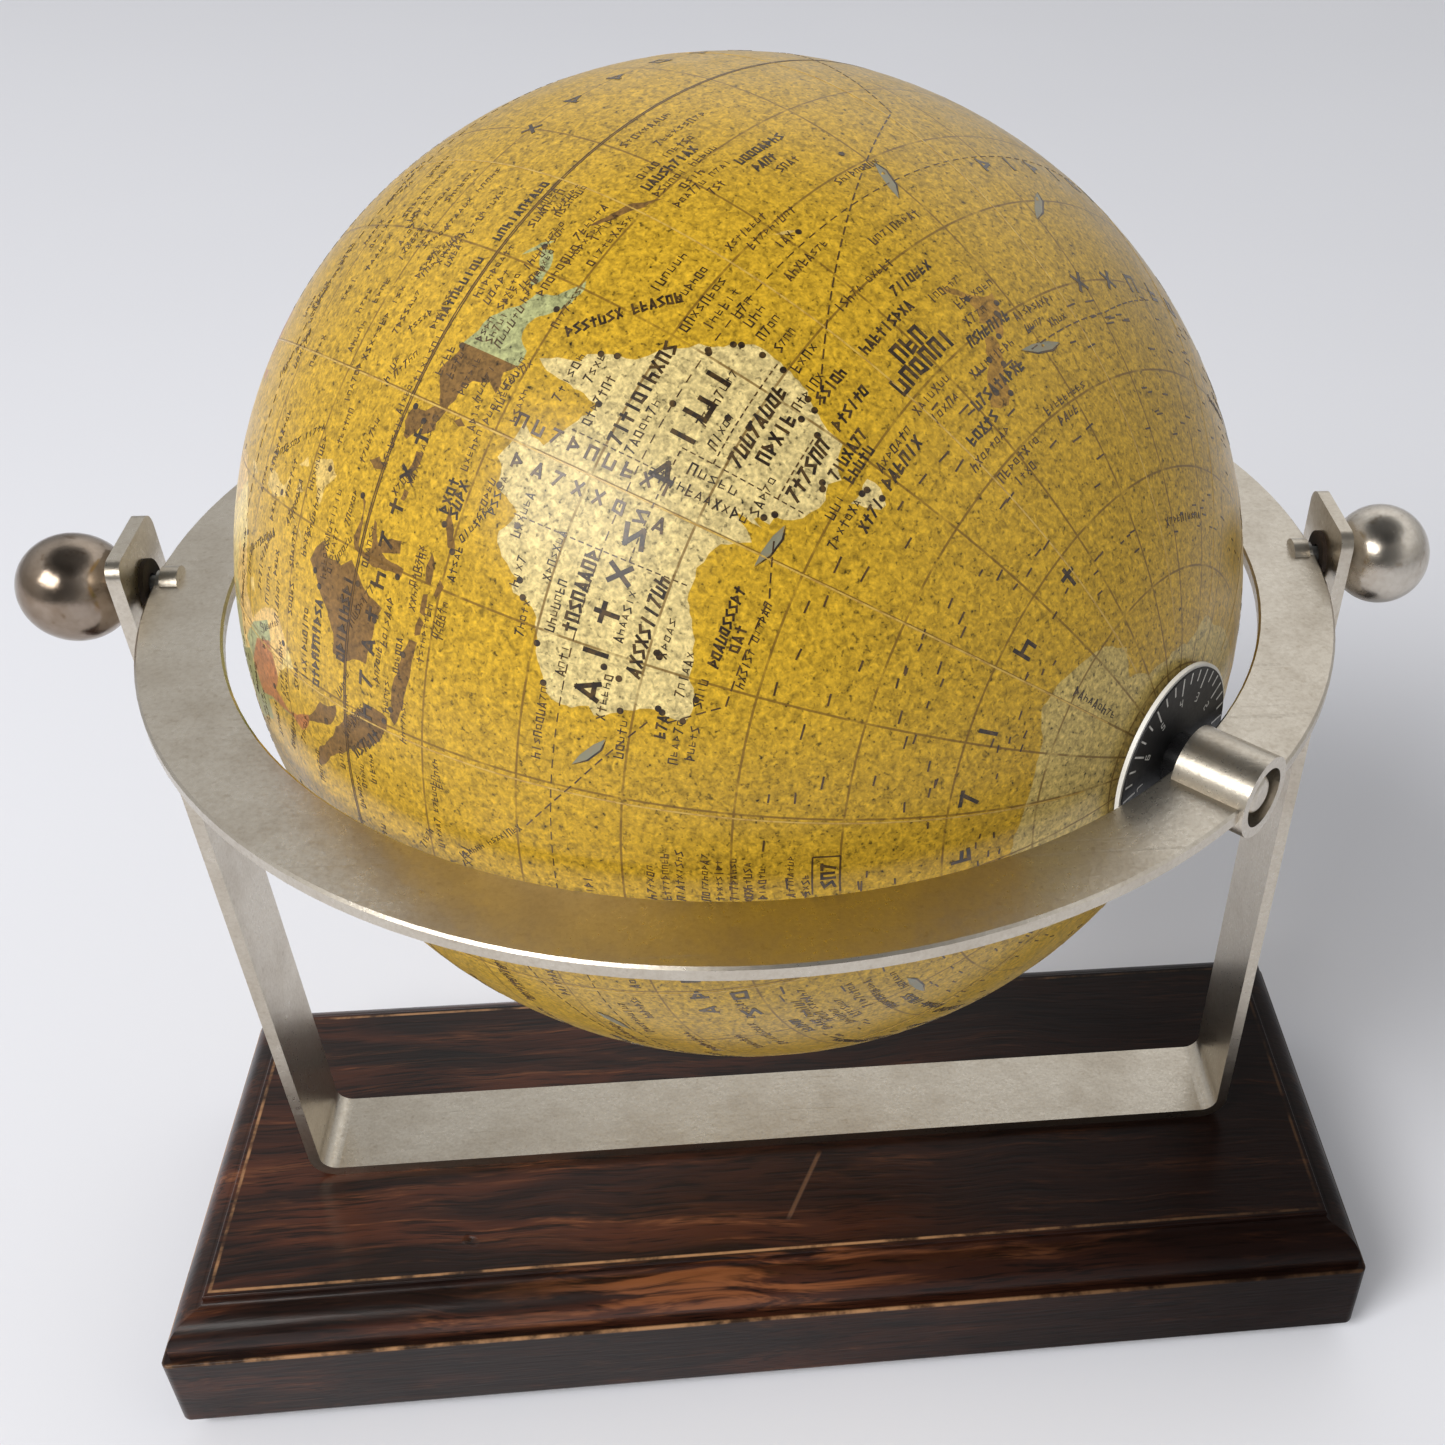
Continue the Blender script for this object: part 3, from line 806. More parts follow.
# Stand-in lettering, level rows: latitude, first and last longitude, height in degrees, boldness.
LEVEL_ROWS = """
 -11.2 93.2 101.8 .7 1  4.6 104.8 113.8 1 2  0.8 109 117.4 1.1 2  -4.8 112.6 117.4 .8 1
 4.8 118.6 124.4 .8 1  9.4 122.8 128.2 .8 1  -0.9 118.8 122.8 .8 1  2.6 121.6 125 .7 1
 3 127.4 131.8 .7 1  -3.6 127.4 134.2 .75 1  -7.3 120.2 123 .7 1  -7.4 117 119.6 .7 1
 -8.1 126.4 129.8 .9 2  -9.2 126.4 129.8 .9 2  -8.6 130.6 134.6 .7 1  -10.8 121 124.4 .75 1
 -6.6 110.6 114.2 .7 1  -5.6 106.2 109.6 .7 1  -9.2 112.6 118.4 .7 1  -1.9 96.4 99.2 .7 1
 1.2 97.2 99.8 .7 1  -3.4 97.6 101 .7 1  6.6 104.6 112.2 .9 1  12.4 108.4 112.8 .8 1
 14.8 109.2 113.4 .8 1  17 109.8 113.6 .8 1  9.6 110.2 113.6 .8 1  11.4 119.2 123.4 .75 1
 13.4 120.8 124.8 .75 1  15.8 117.6 121.6 .8 1  18.2 122.8 126.8 .8 1  7 128 131.6 .7 1
 -12.7 128 131.8 .8 1  -15.6 127 131.4 .8 1  -16.9 122.8 125.8 .8 1  -18.5 118.6 122.2 .8 1
 -19.6 124.4 129.4 .75 1  -21.1 120 125.2 .8 1  -21.8 107.2 114.8 .8 1  -22.9 116.2 119.4 .8 1
 -22.8 120.6 128.8 1.1 2  -27.2 113 118 .8 1  -27.2 121.2 126.6 .8 1  -29.2 118.4 129 1.1 2
 -29.3 109.4 113.8 .8 1  -31.2 121.1 125.4 .8 1  -32.6 112.7 115.4 .85 2  -33.5 117.6 122.8 .8 1
 -34.1 110 115.4 .8 1  -35.5 110.8 115 .8 1  -35.2 117 120.4 .8 1  -35.6 121.8 131 .85 2
 -36.9 124 127.2 .85 2  -38.3 120.4 130.6 .7 1  -9.2 136.6 142 .75 1  -14 139.6 144.6 .85 1
 -15.7 142.4 145.4 .85 1  -17.5 138.8 144 .85 1  -16.1 152.8 157.8 .85 1  -18.5 153.2 157.6 .85 1
 -20.5 138.4 149.4 1.15 2  -20.5 150.8 157.6 .9 1  -22.1 138.2 144 .85 1  -22.1 152.2 157.4 .85 1
 -23.5 154.7 157.4 .85 1  -24.8 154.6 157.4 .85 1  -26.4 143.6 150.2 .85 1  -26.4 154.2 157.4 .85 1
 -28.2 142.2 146.4 .85 1  -28.2 154.2 157.2 .85 1  -30.5 141.8 151.4 1.15 2  -30.5 153.4 157.2 .85 1
 -32.5 143.4 149.4 1.15 2  -32.5 150 155 .85 1  -34 138.2 142.8 .85 1  -33.7 152.3 156.8 .9 2
 -36.2 141.6 149 1.15 2  -36.2 150.8 156.8 .9 2  -38.3 146 152.6 .9 2  -39.8 141.8 145 .8 1
 -39.6 146.6 151.6 .85 2  -41.2 139 145.6 .85 1  -41.3 149.8 156.4 .85 1  -42.8 142.6 147 .9 2
 -42.6 148.6 156.2 1 2  -1.7 137.4 140.4 .8 1  -3 137.6 140.2 .8 1  -4 141.6 144.2 .8 1
 -5 141.8 145 .8 1  -6.1 141.8 146.2 .8 1  -5 136.6 140.4 .75 1  -6.8 136.6 140.2 .75 1
 0.4 136 141.6 .75 1  1.4 142 149 .85 2  1.2 151 158.6 .85 2  -1 145.2 151.2 .75 1
 -2.4 145 148.8 .8 1  -1.2 153.4 158.4 .8 1  -4 149.4 155.2 .75 1  -6.4 154 158.6 .8 1
 -7 147.6 153.6 .8 1  -8 154.6 158.2 .75 1  -9.4 152.2 158.6 .8 1  8.4 136 144 .8 1
 8.2 150.6 158.8 .8 1  7.4 145 149 .75 1  5 152.4 157 .75 1  11.2 136.2 139.6 .75 1
 11.4 141.4 144.2 .75 1  11.6 146.2 151 .75 1  11.4 153.6 158.4 .75 1  13.2 140 142.8 .75 1
 13.4 147.8 150.6 .75 1  16.2 144.4 149 .85 1  16.4 151 158.8 .85 1  23.2 139 147 .8 1
 10.2 147.8 151 .7 1  12.8 151.6 155.6 .7 1  18.6 147 151.4 .7 1  20.6 147.4 150.8 .7 1
 -2.2 165.4 172 .85 1  -4.9 167.2 174 .85 1  -6.8 162.6 170.2 .8 1  -8.2 161.8 169 .9 2
 -9.6 161.6 170.2 .8 1  -10.9 163.8 166.8 .8 1  -12 161.6 169.4 .8 1  -13.4 164.8 166.8 .8 1
 -12.7 169.6 176 .85 2  -14.4 170 173 .9 2  -16 171.4 174.4 .8 1  -18.8 160.4 166 .8 1
 -20.2 161.8 168.6 .8 1  -22 163.6 166 .8 1  -20.6 174.4 181 .8 1  -24.7 161.2 167.6 .85 1
 -27.4 171 178.8 .85 1  -29.9 161.8 171 .85 1  -32.2 167.8 174.4 .85 2  -34 159.8 168.6 .9 2
 -34.9 170.6 175.8 .85 1  -36.5 161.8 167 1.5 2  -38.4 158.8 169.4 1.5 2  -36.8 172.8 179.8 .85 1
 -38.5 172 176.2 .85 1  -40.1 170.4 178.4 .9 2  -40.9 158.2 165 .85 1  -42.4 167.4 176.2 .85 1
 -42.6 159 164.2 .85 1  -44.5 164.6 175.2 .95 2  -46.3 160.4 166.6 .9 2  -48 158 166.6 .85 1
 -50.6 159.8 169.6 .85 1  -52 161.6 166.4 .85 1  -49.3 173.4 183.4 .85 1  -50.8 174.6 179.6 .85 1
 -40.7 178.8 187.2 .8 1  -42.2 179.2 182.8 .8 1  -42.8 183.4 187.4 .8 1  -65 191.6 209.6 .9 1
 -32.6 92 97 .75 1  -34 92 98.8 .75 1  -35.3 92 99.4 .75 1  -37.6 92 99.2 .75 1
 -38.9 92 98.4 .75 1  -40.2 92 98.8 .75 1  -41.5 92 98.2 .75 1  -42.8 92 97.2 .75 1
 -45.4 92 99.2 .75 1  -46.8 92 96 .75 1  -48.9 93 97.8 1.2 2
"""
# Widely spaced capitals: latitude, longitude of each letter's middle, height, boldness.
SPACED = [
    (-25.6, (115.8, 119.6, 123.6, 127.6, 131.4, 138.2, 142, 145.2, 148.6), 1.9, 2),
    (-2.9, (105.4, 108.6, 112, 115, 118.4, 122, 125.2, 128.4, 131.8), 1.4, 2),
    (-24.6, (194.2, 199, 203.8, 208.6, 213.4, 218.2, 223), 1.6, 2),
    (-40.0, (194.2, 201.4, 208, 214.6, 221.2), 1.8, 2),
    (-62.0, (94.6, 108.4, 122.8, 140.8, 158), 1.7, 2),
    (-34.0, (70, 74, 78, 82, 86), 1.6, 2), (-38.0, (68, 73, 78, 83), 1.6, 2),
    (10.0, (165, 171, 177, 183, 189, 195), 1.6, 2),
]
# Slanting and upright rows: start and end as latitude, longitude, then height and boldness.
SLANTING = [
    (-11.4, 145.6, -18.6, 153.8, .9, 2), (-10.6, 124.8, -12.6, 128.8, .7, 1),
    (-27.2, 139.6, -32.0, 139.6, 1.0, 1), (-25.4, 137.6, -33.8, 137.6, 1.0, 1),
    (-69.6, 138.8, -76.6, 138.8, .9, 1), (-13.4, 93.0, -20.4, 99.0, .7, 1),
    (-1.0, 100.0, -4.6, 103.6, 1.0, 2), (18.0, 124.0, 10.0, 129.0, .8, 1),
    (20.5, 113.0, 14.5, 117.0, .8, 1), (16.0, 106.0, 12.0, 108.4, .7, 1),
]
UPRIGHT_SPACED = [(133.4, (-13.2, -15.4, -17.4, -19.4, -21.4, -23.4, -25.4, -27.2)),
                  (136.8, (-12.0, -13.8, -15.6, -17.4, -19.2, -21, -22.8, -24.6, -26.4))]
TOWNS = """-12.5 130.8 -15.5 128.1 -17.3 123.6 -18 122.2 -20.3 118.6 -21.6 115.1 -28.8 114.6
 -32 115.9 -32.4 115.6 -34.3 115.2 -35 117.9 -30.7 121.5 -31 121.2 -28.1 117.8 -26.6 118.5
 -34.9 138.6 -35.6 139.4 -37.8 145 -38.1 144.4 -35.3 149.1 -33.9 151.2 -33.4 149.6 -32.9 151.8
 -30.1 145.9 -29.7 152.9 -28.1 145.7 -27.5 153 -25.5 152.7 -24.9 152.3 -23.4 150.5 -23.4 144.3
 -23.6 150.3 -16.9 145.8 -15.5 145.3 -17.7 141.1 -42.9 147.3 -41.4 147.1 -41.2 146.4 -9.4 147.2
 -36.9 174.8 -38.7 178 -39.5 176.9 -41.3 174.8 -42.4 171.2 -43.5 172.6 -45.9 170.5 -45 168.7
 -2.6 140.7 -6.2 106.8 -7.2 112.7 -5.1 119.4 1.5 124.8 4.9 114.9 3.1 101.7 13.7 100.5 10.8 106.7
 14.6 121 7.1 125.6 -10.2 123.6 -8.6 125.6 -2.5 133.2 5.9 116.1 -18.1 178.4 -22.3 166.5
 -4.2 152.2 -0.9 134.1 -0.5 117.1 -3.3 114.6 -5.4 105.3 -0.9 100.4 35.7 139.7 39.9 116.4 31.2 121.5
 22.3 114.2 28.6 77.2 19.1 72.9 13.1 80.3 24.9 67 30 31.2 -1.3 36.8 -26.2 28 -33.9 18.4
 6.5 3.4 33.6 -7.6 40.4 -3.7 48.9 2.4 51.5 -0.1 52.5 13.4 41.9 12.5 55.8 37.6 59.9 30.3 59.3 18.1
 40.7 -74 38.9 -77 41.9 -87.6 34.1 -118.2 37.8 -122.4 47.6 -122.3 45.5 -73.6 19.4 -99.1
 29.8 -95.4 25.8 -80.2 23.1 -82.4 4.7 -74.1 -12 -77 -33.4 -70.7 -34.6 -58.4 -22.9 -43.2
 -23.5 -46.6 -12.9 -38.5 10.5 -66.9 61.2 -149.9"""
GORE_SEAMS = (14, 44, 74.5, 104.4, 134.9, 159.4, 189.0, 219, 249, 279, 309, 339)
CURRENT_LATITUDES = (-42, -44.5, -47, -52.5, -55, -57.5, -63.5, -65.5)
ROUTES = [((-21.0, 99.4), (-25.6, 105.6), (-31.6, 114.6)),
          ((-33.0, 114.6), (-37.6, 118), (-38.2, 131)),
          ((-38.2, 131), (-36.4, 137.4)), ((-44, 178), (-43.6, 196), (-41.4, 212)),
          ((-34, 18), (-20, 60), (-13.4, 93)), ((-13, -38), (-30, -10), (-34, 18)),
          ((36, -6), (30, -30), (12, -60)), ((50, -5), (44, -40), (41, -70)),
          ((35, 141), (30, 180), (36, -122)), ((-34, 152), (-15, 190), (20, -157), (37, -123))]
# Plain leaf-shaped marks on the sea: latitude, longitude, length and heading in degrees.
EMBLEMS = [(-26.6, 109.4, 4.2, -42), (-36.4, 136.2, 4.4, -12), (-23.0, 179.4, 5.0, 68),
           (-30.6, 197.0, 5.4, 40), (-44.2, 179.8, 5.0, -16), (-22.0, 66.0, 5.0, 20),
           (24.0, -40.0, 5.0, -30), (-20.0, -20.0, 5.0, 50), (30.0, -160.0, 5.0, 10),
           (-54.0, 60.0, 5.0, 0), (-50.0, -120.0, 5.0, 25), (-10.0, -110.0, 5.0, -35)]
# Their outlines in unit lengths: the leaf, and the dark edge under it.
LEAF = ((-0.5, 0.0), (-0.15, -0.11), (0.25, -0.10), (0.5, 0.02), (0.2, 0.07), (-0.2, 0.06))
KEEL = ((-0.52, -0.01), (-0.15, -0.15), (0.28, -0.14), (0.52, 0.01), (0.25, -0.10), (-0.15, -0.11))
TOWN_DOT = 0.31                          # radius in degrees
CROWDED_NAMES, FAR_NAMES = 90, 420
# Borders inside the great island, as dashed lines: along meridians and along parallels.
MERIDIAN_BORDERS = ((129.0, -14.8, -31.6), (138.0, -16.6, -26.0), (141.0, -26.0, -38.0))
PARALLEL_BORDERS = ((-26.0, 129.0, 141.0), (-29.0, 141.0, 153.4), (-35.2, 141.0, 149.8))
SCALE_BOX = ((-47.4, 92.2), (-47.4, 98.8), (-50.0, 98.8), (-50.0, 92.2))
TROPIC = 23.4
# Letter-like but meaningless strokes in a unit box, so that no real word is spelt.
GLYPHS = [
    ((0, 0, 0, 1), (0, 1, 1, 1), (1, 1, 1, .1)), ((0, 1, 0, 0), (0, 0, 1, 0), (1, 0, 1, .7)),
    ((0, 0, .5, 1), (.5, 1, 1, 0), (.1, .2, .9, .2)), ((0, 1, 1, 1), (.8, 1, .2, 0)),
    ((0, 0, 0, 1), (0, .55, 1, .55), (1, 0, 1, .55)), ((.1, 0, .1, 1), (.1, .9, 1, .5), (1, .5, .1, .2)),
    ((.5, 0, .5, 1), (0, .7, 1, .7)), ((0, 1, 0, 0), (0, 0, .9, .1), (0, .5, .8, .5)),
    ((0, .9, 1, .1), (.1, 0, .9, 1)), ((.5, 0, .5, 1),), ((1, 1, 0, .8), (0, .8, 1, .2), (1, .2, 0, 0)),
    ((0, .1, 0, .9), (0, .9, .9, .9), (.9, .9, 1, 0), (0, .1, 1, 0)),
]


class Print:
    """Collects thin closed plates lying in the globe's surface and makes one object of them."""

    def __init__(self):
        self.verts, self.faces = [], []

    def plate(self, corners):
        """A plate over a convex outline of (latitude, longitude) corners, counterclockwise."""
        rings = []
        for radius in (INK_LOW, INK_HIGH):
            for latitude, longitude in corners:
                a, b = math.radians(latitude), math.radians(longitude)
                rings.append((radius * math.cos(a) * math.cos(b),
                              radius * math.cos(a) * math.sin(b), radius * math.sin(a)))
        self.slab(rings)

    def slab(self, rings):
        """A closed slab from its lower outline followed by its upper outline."""
        count, first = len(rings) // 2, len(self.verts)
        self.verts += rings
        self.faces.append([first + i for i in range(count)][::-1])
        self.faces.append([first + count + i for i in range(count)])
        for i in range(count):
            j = (i + 1) % count
            self.faces.append([first + i, first + j, first + count + j, first + count + i])

    def stroke(self, start, end, half_width, anchor):
        """A straight stroke between two (east, north) points in degrees about the anchor."""
        (x0, y0), (x1, y1) = start, end
        length = math.hypot(x1 - x0, y1 - y0)
        ux, uy = (x1 - x0) / length * half_width, (y1 - y0) / length * half_width
        outline = [(x0 - ux + uy, y0 - uy - ux), (x1 + ux + uy, y1 + uy - ux),
                   (x1 + ux - uy, y1 + uy + ux), (x0 - ux - uy, y0 - uy + ux)]
        shrink = math.cos(math.radians(anchor[0]))
        self.plate([(anchor[0] + y, anchor[1] + x / shrink) for x, y in outline])

    def path(self, points, half_width, dash=0.0, gap=0.0):
        """A line or a row of dashes through (latitude, longitude) points."""
        for (a0, b0), (a1, b1) in zip(points, points[1:]):
            b1 = b0 + (b1 - b0 + 180) % 360 - 180
            shrink = math.cos(math.radians((a0 + a1) / 2))
            length = math.hypot(a1 - a0, (b1 - b0) * shrink)
            step = dash + gap if dash else 1.5
            count = max(1, round(length / step))
            ux, uy = (b1 - b0) * shrink / length, (a1 - a0) / length
            for k in range(count):
                t0, t1 = k / count, (k + (dash / step if dash else 1.0)) / count
                corners = []
                for t, across in ((t0, -1), (t1, -1), (t1, 1), (t0, 1)):
                    latitude = a0 + (a1 - a0) * t
                    here = max(0.1, math.cos(math.radians(latitude)))
                    corners.append((latitude + across * half_width * ux,
                                    b0 + (b1 - b0) * t - across * half_width * uy / here))
                self.plate(corners)

    def dot(self, latitude, longitude, radius):
        shrink = math.cos(math.radians(latitude))
        self.plate([(latitude + radius * math.sin(a), longitude + radius * math.cos(a) / shrink)
                    for a in even_angles(12)])

    def glyph(self, draw, centre, size, width, bold, turn, slope=0.0):
        """One stand-in letter about its middle, turned and sloped."""
        c, s = math.cos(turn), math.sin(turn)

        def place(u, v):
            x = (u - 0.5) * width + slope * (v - 0.5) * size
            y = (v - 0.5) * size
            return x * c - y * s, x * s + y * c

        half = size * (0.118 if bold > 1 else 0.080)
        for x0, y0, x1, y1 in draw.choice(GLYPHS):
            self.stroke(place(x0, y0), place(x1, y1), half, centre)

    def row(self, draw, start, end, size, bold):
        """A row of stand-in letters between two (latitude, longitude) points."""
        shrink = math.cos(math.radians((start[0] + end[0]) / 2))
        east, north = (end[1] - start[1]) * shrink, end[0] - start[0]
        length = math.hypot(east, north)
        turn = math.atan2(north, east)
        count = max(2, round(length / (size * 0.88)))
        space = draw.randint(4, 7) if count > 10 else count
        slope = 0.25 if draw.random() < 0.3 else 0.0
        for k in range(count):
            if k == space:
                continue
            t = (k + 0.5) / count
            tall = size if bold > 1 or k % space == 0 else size * draw.choice((0.66, 0.66, 0.95))
            middle = (start[0] + north * t, start[1] + (end[1] - start[1]) * t)
            self.glyph(draw, middle, tall, length / count * 0.56, bold, turn, slope)

    def make(self, name, material, turn_frame=GLOBE_FRAME, slot="map_board"):
        mesh = bpy.data.meshes.new(name)
        mesh.from_pydata(self.verts, [], self.faces)
        mesh.transform(turn_frame)
        mesh.materials.append(material)
        made = placed(name, mesh)
        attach(made, "globe")


def print_lettering():
    """Rows of stand-in names and the dots of towns, in dark and in brown ink."""
    draw = random.Random(23)
    dark, brown = Print(), Print()
    numbers = [float(word) for word in LEVEL_ROWS.split()]
    for k in range(0, len(numbers), 5):
        latitude, first, last, size, bold = numbers[k:k + 5]
        sheet = dark if bold > 1 or 108 < first < 158 and latitude < -10 else brown
        sheet.row(draw, (latitude, first), (latitude, last), size, bold)
    for latitude, places, size, bold in SPACED:
        for longitude in places:
            dark.glyph(draw, (latitude, longitude), size, size * 0.8, bold, 0.0)
    for a0, b0, a1, b1, size, bold in SLANTING:
        dark.row(draw, (a0, b0), (a1, b1), size, bold)
    for longitude, places in UPRIGHT_SPACED:
        for latitude in places:
            brown.glyph(draw, (latitude, longitude), 1.1, 0.8, 2, -math.pi / 2)
    for latitude, longitude in points_of(TOWNS):
        dark.dot(latitude, longitude, TOWN_DOT)
    # crowded small names among the islands north of the line
    for _ in range(CROWDED_NAMES):
        latitude, longitude = draw.uniform(-12, 26), draw.uniform(92, 158)
        rise = draw.choice((0.0, 0.0, 0.5, -1.5))
        length = draw.uniform(2.5, 5.0)
        brown.row(draw, (latitude, longitude), (latitude + rise, longitude + length), 0.72, 1)
    # the far side of the map, which is lettered as closely as the near side
    for _ in range(FAR_NAMES):
        latitude = math.degrees(math.asin(draw.uniform(-0.8, 0.97)))
        longitude = draw.uniform(225, 450)
        length = draw.uniform(4, 10) / max(0.25, math.cos(math.radians(latitude)))
        bold = 2 if draw.random() < 0.2 else 1
        sheet = dark if bold > 1 else brown
        sheet.row(draw, (latitude, longitude), (latitude, longitude + length),
                  draw.uniform(0.75, 1.0), bold)
    dark.make("map_lettering", INK)
    brown.make("map_small_lettering", INK_BROWN)


def print_lines():
    """Routes, currents, borders and tropics, the marks on the sea and the seams of the gores."""
    draw = random.Random(31)
    lines = Print()
    for route in ROUTES:
        lines.path(route, 0.07, 1.0, 0.5)
    for latitude in CURRENT_LATITUDES:
        for _ in range(46):
            longitude = draw.uniform(0, 360)
            tilt = draw.uniform(-0.12, 0.12)
            there = latitude + draw.uniform(-0.9, 0.9)
            lines.path([(there, longitude), (there + tilt, longitude + draw.uniform(1.2, 2.2))],
                       0.09, 3.0, 0.0)
    for latitude in (-TROPIC, TROPIC):
        lines.path([(latitude, x) for x in range(0, 361, 15)], 0.05, 0.9, 0.7)
    for latitude in (-0.13, 0.13):
        lines.path([(latitude, x) for x in range(0, 361, 30)], 0.05)
    lines.path(SCALE_BOX, 0.08)
    for longitude, first, last in MERIDIAN_BORDERS:
        lines.path([(first, longitude), (last, longitude)], 0.06, 0.5, 0.3)
    for latitude, first, last in PARALLEL_BORDERS:
        lines.path([(latitude, first), (latitude, last)], 0.06, 0.5, 0.3)
    lines.make("map_routes", INK_BROWN)

    emblems, keels = Print(), Print()
    for latitude, longitude, length, heading in EMBLEMS:
        shrink = math.cos(math.radians(latitude))
        c, s = math.cos(math.radians(heading)), math.sin(math.radians(heading))
        for sheet, outline in ((emblems, LEAF), (keels, KEEL)):
            sheet.plate([(latitude + (x * s + y * c) * length,
                          longitude + (x * c - y * s) * length / shrink) for x, y in outline])
    emblems.make("map_emblems", INK_BLUE)
    keels.make("map_emblem_edges", INK)

    seams = Print()
    for longitude in GORE_SEAMS:
        seams.path([(latitude, longitude) for latitude in range(-76, 78, 4)], 0.075)
    seams.make("map_seams", SEAM)


# seven short strokes that make up a numeral, in a unit box, and which of them each digit uses
SEGMENTS = ((0, 1, 1, 1), (1, 1, 1, .5), (1, .5, 1, 0), (1, 0, 0, 0), (0, 0, 0, .5), (0, .5, 0, 1),
            (0, .5, 1, .5))
DIGITS = ("012345", "12", "01643", "01623", "5612", "05623", "056234", "012", "0123456", "012356")


DIAL_TICKS, TICKS_PER_FIGURE = 36, 3
LONG_TICK, SHORT_TICK = 3.0 * MM, 1.9 * MM


def dial_marks(pole):
    """White ticks and numerals on the dark dial face at one pole."""
    face = "dial_face_" + pole
    low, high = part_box(face)
    outward = centre_of(face) - GLOBE_CENTRE
    front = outward.length + 0.1 * MM
    outward.normalize()
    up = Vector((0, 0, 1))
    turn = Matrix((up.cross(outward), up, outward)).transposed().to_4x4()
    rim = (high.z - low.z) / 2
    marks = Print()

    def bar(start, end, half_width):
        (x0, y0), (x1, y1) = start, end
        length = math.hypot(x1 - x0, y1 - y0)
        ux, uy = (x1 - x0) / length * half_width, (y1 - y0) / length * half_width
        outline = [(x0 + uy, y0 - ux), (x1 + uy, y1 - ux), (x1 - uy, y1 + ux), (x0 - uy, y0 + ux)]
        marks.slab([(x, y, z) for z in (-0.03 * MM, 0.06 * MM) for x, y in outline])

    def polar(radius, angle, across=0.0):
        c, s = math.cos(angle), math.sin(angle)
        return radius * c - across * s, radius * s + across * c

    for index, angle in enumerate(even_angles(DIAL_TICKS)):
        numbered = index % TICKS_PER_FIGURE == 0
        inner = rim - (LONG_TICK if numbered else SHORT_TICK)
        bar(polar(inner, angle), polar(rim - 0.25 * MM, angle), 0.13 * MM)
        if not numbered:
            continue
        number = str(index // TICKS_PER_FIGURE + 1)
        for place, figure in enumerate(number):
            shift = (place - (len(number) - 1) / 2) * 1.0 * MM
            for stroke in DIGITS[int(figure)]:
                x0, y0, x1, y1 = SEGMENTS[int(stroke)]
                ends = [polar(rim - 4.9 * MM + y * 1.2 * MM, angle, -shift - (x - 0.5) * 0.6 * MM)
                        for x, y in ((x0, y0), (x1, y1))]
                bar(*ends, 0.07 * MM)
    marks.make("dial_marks_" + pole, MARK_WHITE,
               Matrix.Translation(GLOBE_CENTRE + outward * front) @ turn, "dial_print")


# ---------------------------------------------------------------- build

finish_cad_nodes()
for pole, side in POLES:
    shell = build_shell("globe_map_" + pole, side)
    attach(shell, "globe")
    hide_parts("shell_" + pole)
print_lettering()
print_lines()
for pole, _ in POLES:
    dial_marks(pole)


# ---------------------------------------------------------------- camera, floor, light

VIEW_YAW, VIEW_PITCH, VIEW_ROLL = (math.radians(angle) for angle in (8.86, 37.02, -3.10))
VIEW_PLACE = (0.0019, -0.2279, 0.2936)
LENS, LENS_SHIFT = 41.68, (-0.1820, 0.0184)


def place_camera():
    """The view: from the front, a little to the left, looking down."""
    forward = Vector((math.sin(VIEW_YAW) * math.cos(VIEW_PITCH),
                      math.cos(VIEW_YAW) * math.cos(VIEW_PITCH), -math.sin(VIEW_PITCH)))
    level = Vector((math.cos(VIEW_YAW), -math.sin(VIEW_YAW), 0))
    down = forward.cross(level)
    right = level * math.cos(VIEW_ROLL) + down * math.sin(VIEW_ROLL)
    down = down * math.cos(VIEW_ROLL) - level * math.sin(VIEW_ROLL)
    camera = bpy.data.cameras.new("camera")
    camera.lens = LENS
    camera.shift_x, camera.shift_y = LENS_SHIFT
    camera.clip_start = 0.01
    seen = placed("camera", camera)
    turn = Matrix((right, -down, -forward)).transposed().to_4x4()
    seen.matrix_world = Matrix.Translation(VIEW_PLACE) @ turn
    bpy.context.scene.camera = seen


def floor_material():
    g = material_graph("pale_floor")
    where = g.coords()
    tone = g.mix(g.noise(where, 3.0, 3.0), srgb(225, 226, 232), srgb(231, 232, 238))
    return g.surface(Base_Color=tone, Roughness=0.6,
                     Normal=g.bump(g.noise(where, 400.0), 0.0001, 0.2))


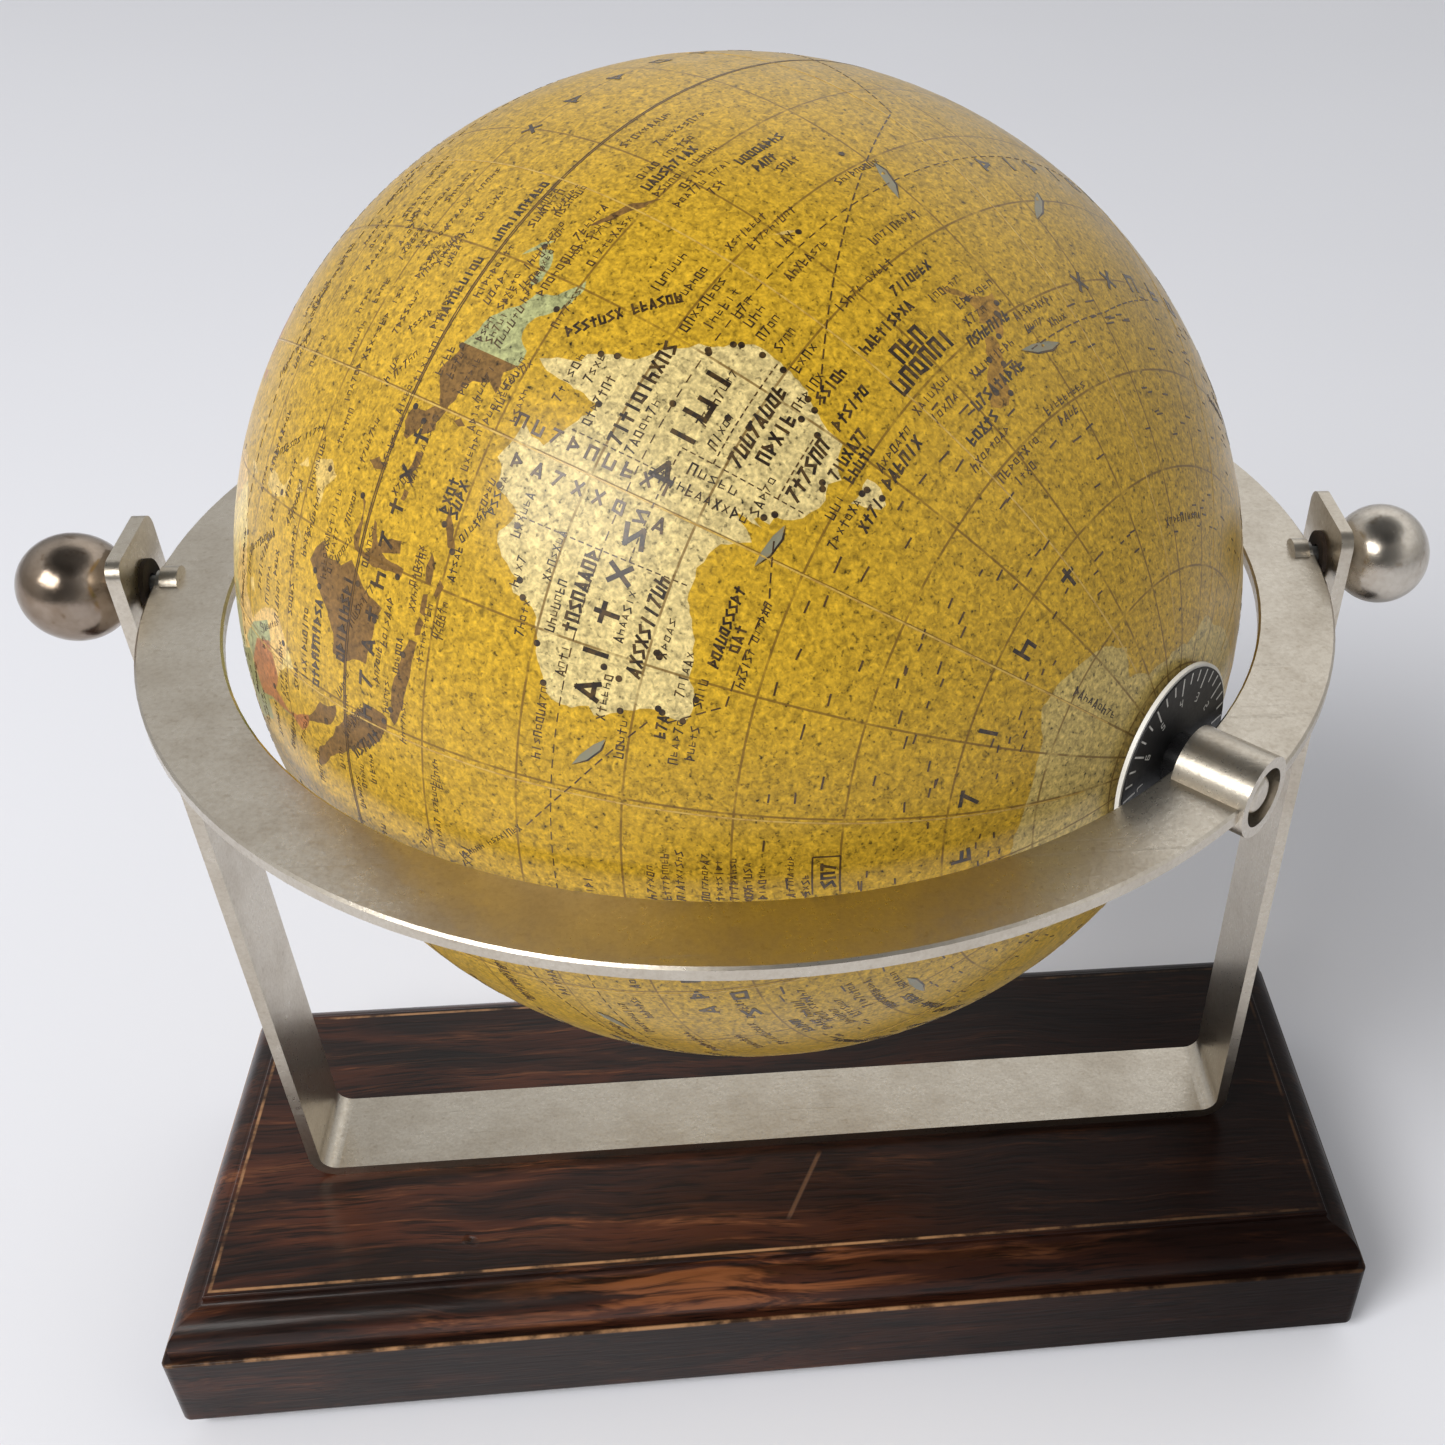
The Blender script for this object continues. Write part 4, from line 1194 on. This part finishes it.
def make_floor():
    mesh = bpy.data.meshes.new("floor")
    reach = 4.0
    corners = [(-reach, -reach, 0), (reach, -reach, 0), (reach, reach, 0), (-reach, reach, 0)]
    mesh.from_pydata(corners, [], [(0, 1, 2, 3)])
    mesh.materials.append(floor_material())
    placed("floor", mesh)


def area_light(name, direction, distance, width, height, power, tint=(1, 1, 1), glossy=True):
    """A rectangular light that faces the globe from a direction, at a distance."""
    light = bpy.data.lights.new(name, "AREA")
    light.shape = "RECTANGLE"
    light.size, light.size_y = width, height
    light.energy = power
    light.color = tint
    lamp = placed(name, light)
    away = Vector(direction).normalized()
    lamp.location = GLOBE_CENTRE + away * distance
    lamp.rotation_mode = "QUATERNION"
    lamp.rotation_quaternion = away.to_track_quat("Z", "Y")
    lamp.visible_glossy = glossy


def make_world():
    """A pale room: bright walls, brighter at the back right, a dim ceiling and a dim near side."""
    g = Graph(bpy.data.worlds.new("room"))
    where = g.node("TexCoord").outputs["Generated"]
    across, _, up = g.split(where)
    height = g.bands(up, ((0.0, 0.50), (0.30, 0.64), (0.52, 0.94), (0.72, 1.0), (0.80, 0.40),
                          (0.90, 0.14), (1.0, 0.10)))
    side = g.bands(g.math("MULTIPLY_ADD", across, 0.5, 0.5),
                   ((0.0, 0.75), (0.34, 0.58), (0.46, 0.92), (0.70, 1.0), (1.0, 0.75)))
    near = g.node("VectorMath", {0: where, 1: (-0.10, -0.80, 0.59)}, operation="DOT_PRODUCT")
    dim = g.bands(near.outputs["Value"], ((0.62, 1.0), (0.84, 0.32), (1.0, 0.12)))
    shade = g.mix(1.0, g.mix(1.0, height, side, "MULTIPLY"), dim, "MULTIPLY")
    background = g.tree.nodes["Background"]
    g.put(background.inputs["Color"], shade)
    background.inputs["Strength"].default_value = 1.16
    bpy.context.scene.world = g.owner


place_camera()
make_floor()
make_world()
area_light("window", (-0.56, -0.56, 0.61), 1.5, 0.86, 0.56, 10.5, (1.0, 0.985, 0.96))
area_light("sky", (-0.62, -0.42, 0.66), 3.2, 1.3, 1.3, 61.0, glossy=False)
area_light("ceiling", (-0.10, 0.1, 1.0), 3.2, 4.0, 4.0, 2.5, glossy=False)
bpy.context.scene.view_settings.view_transform = "Standard"
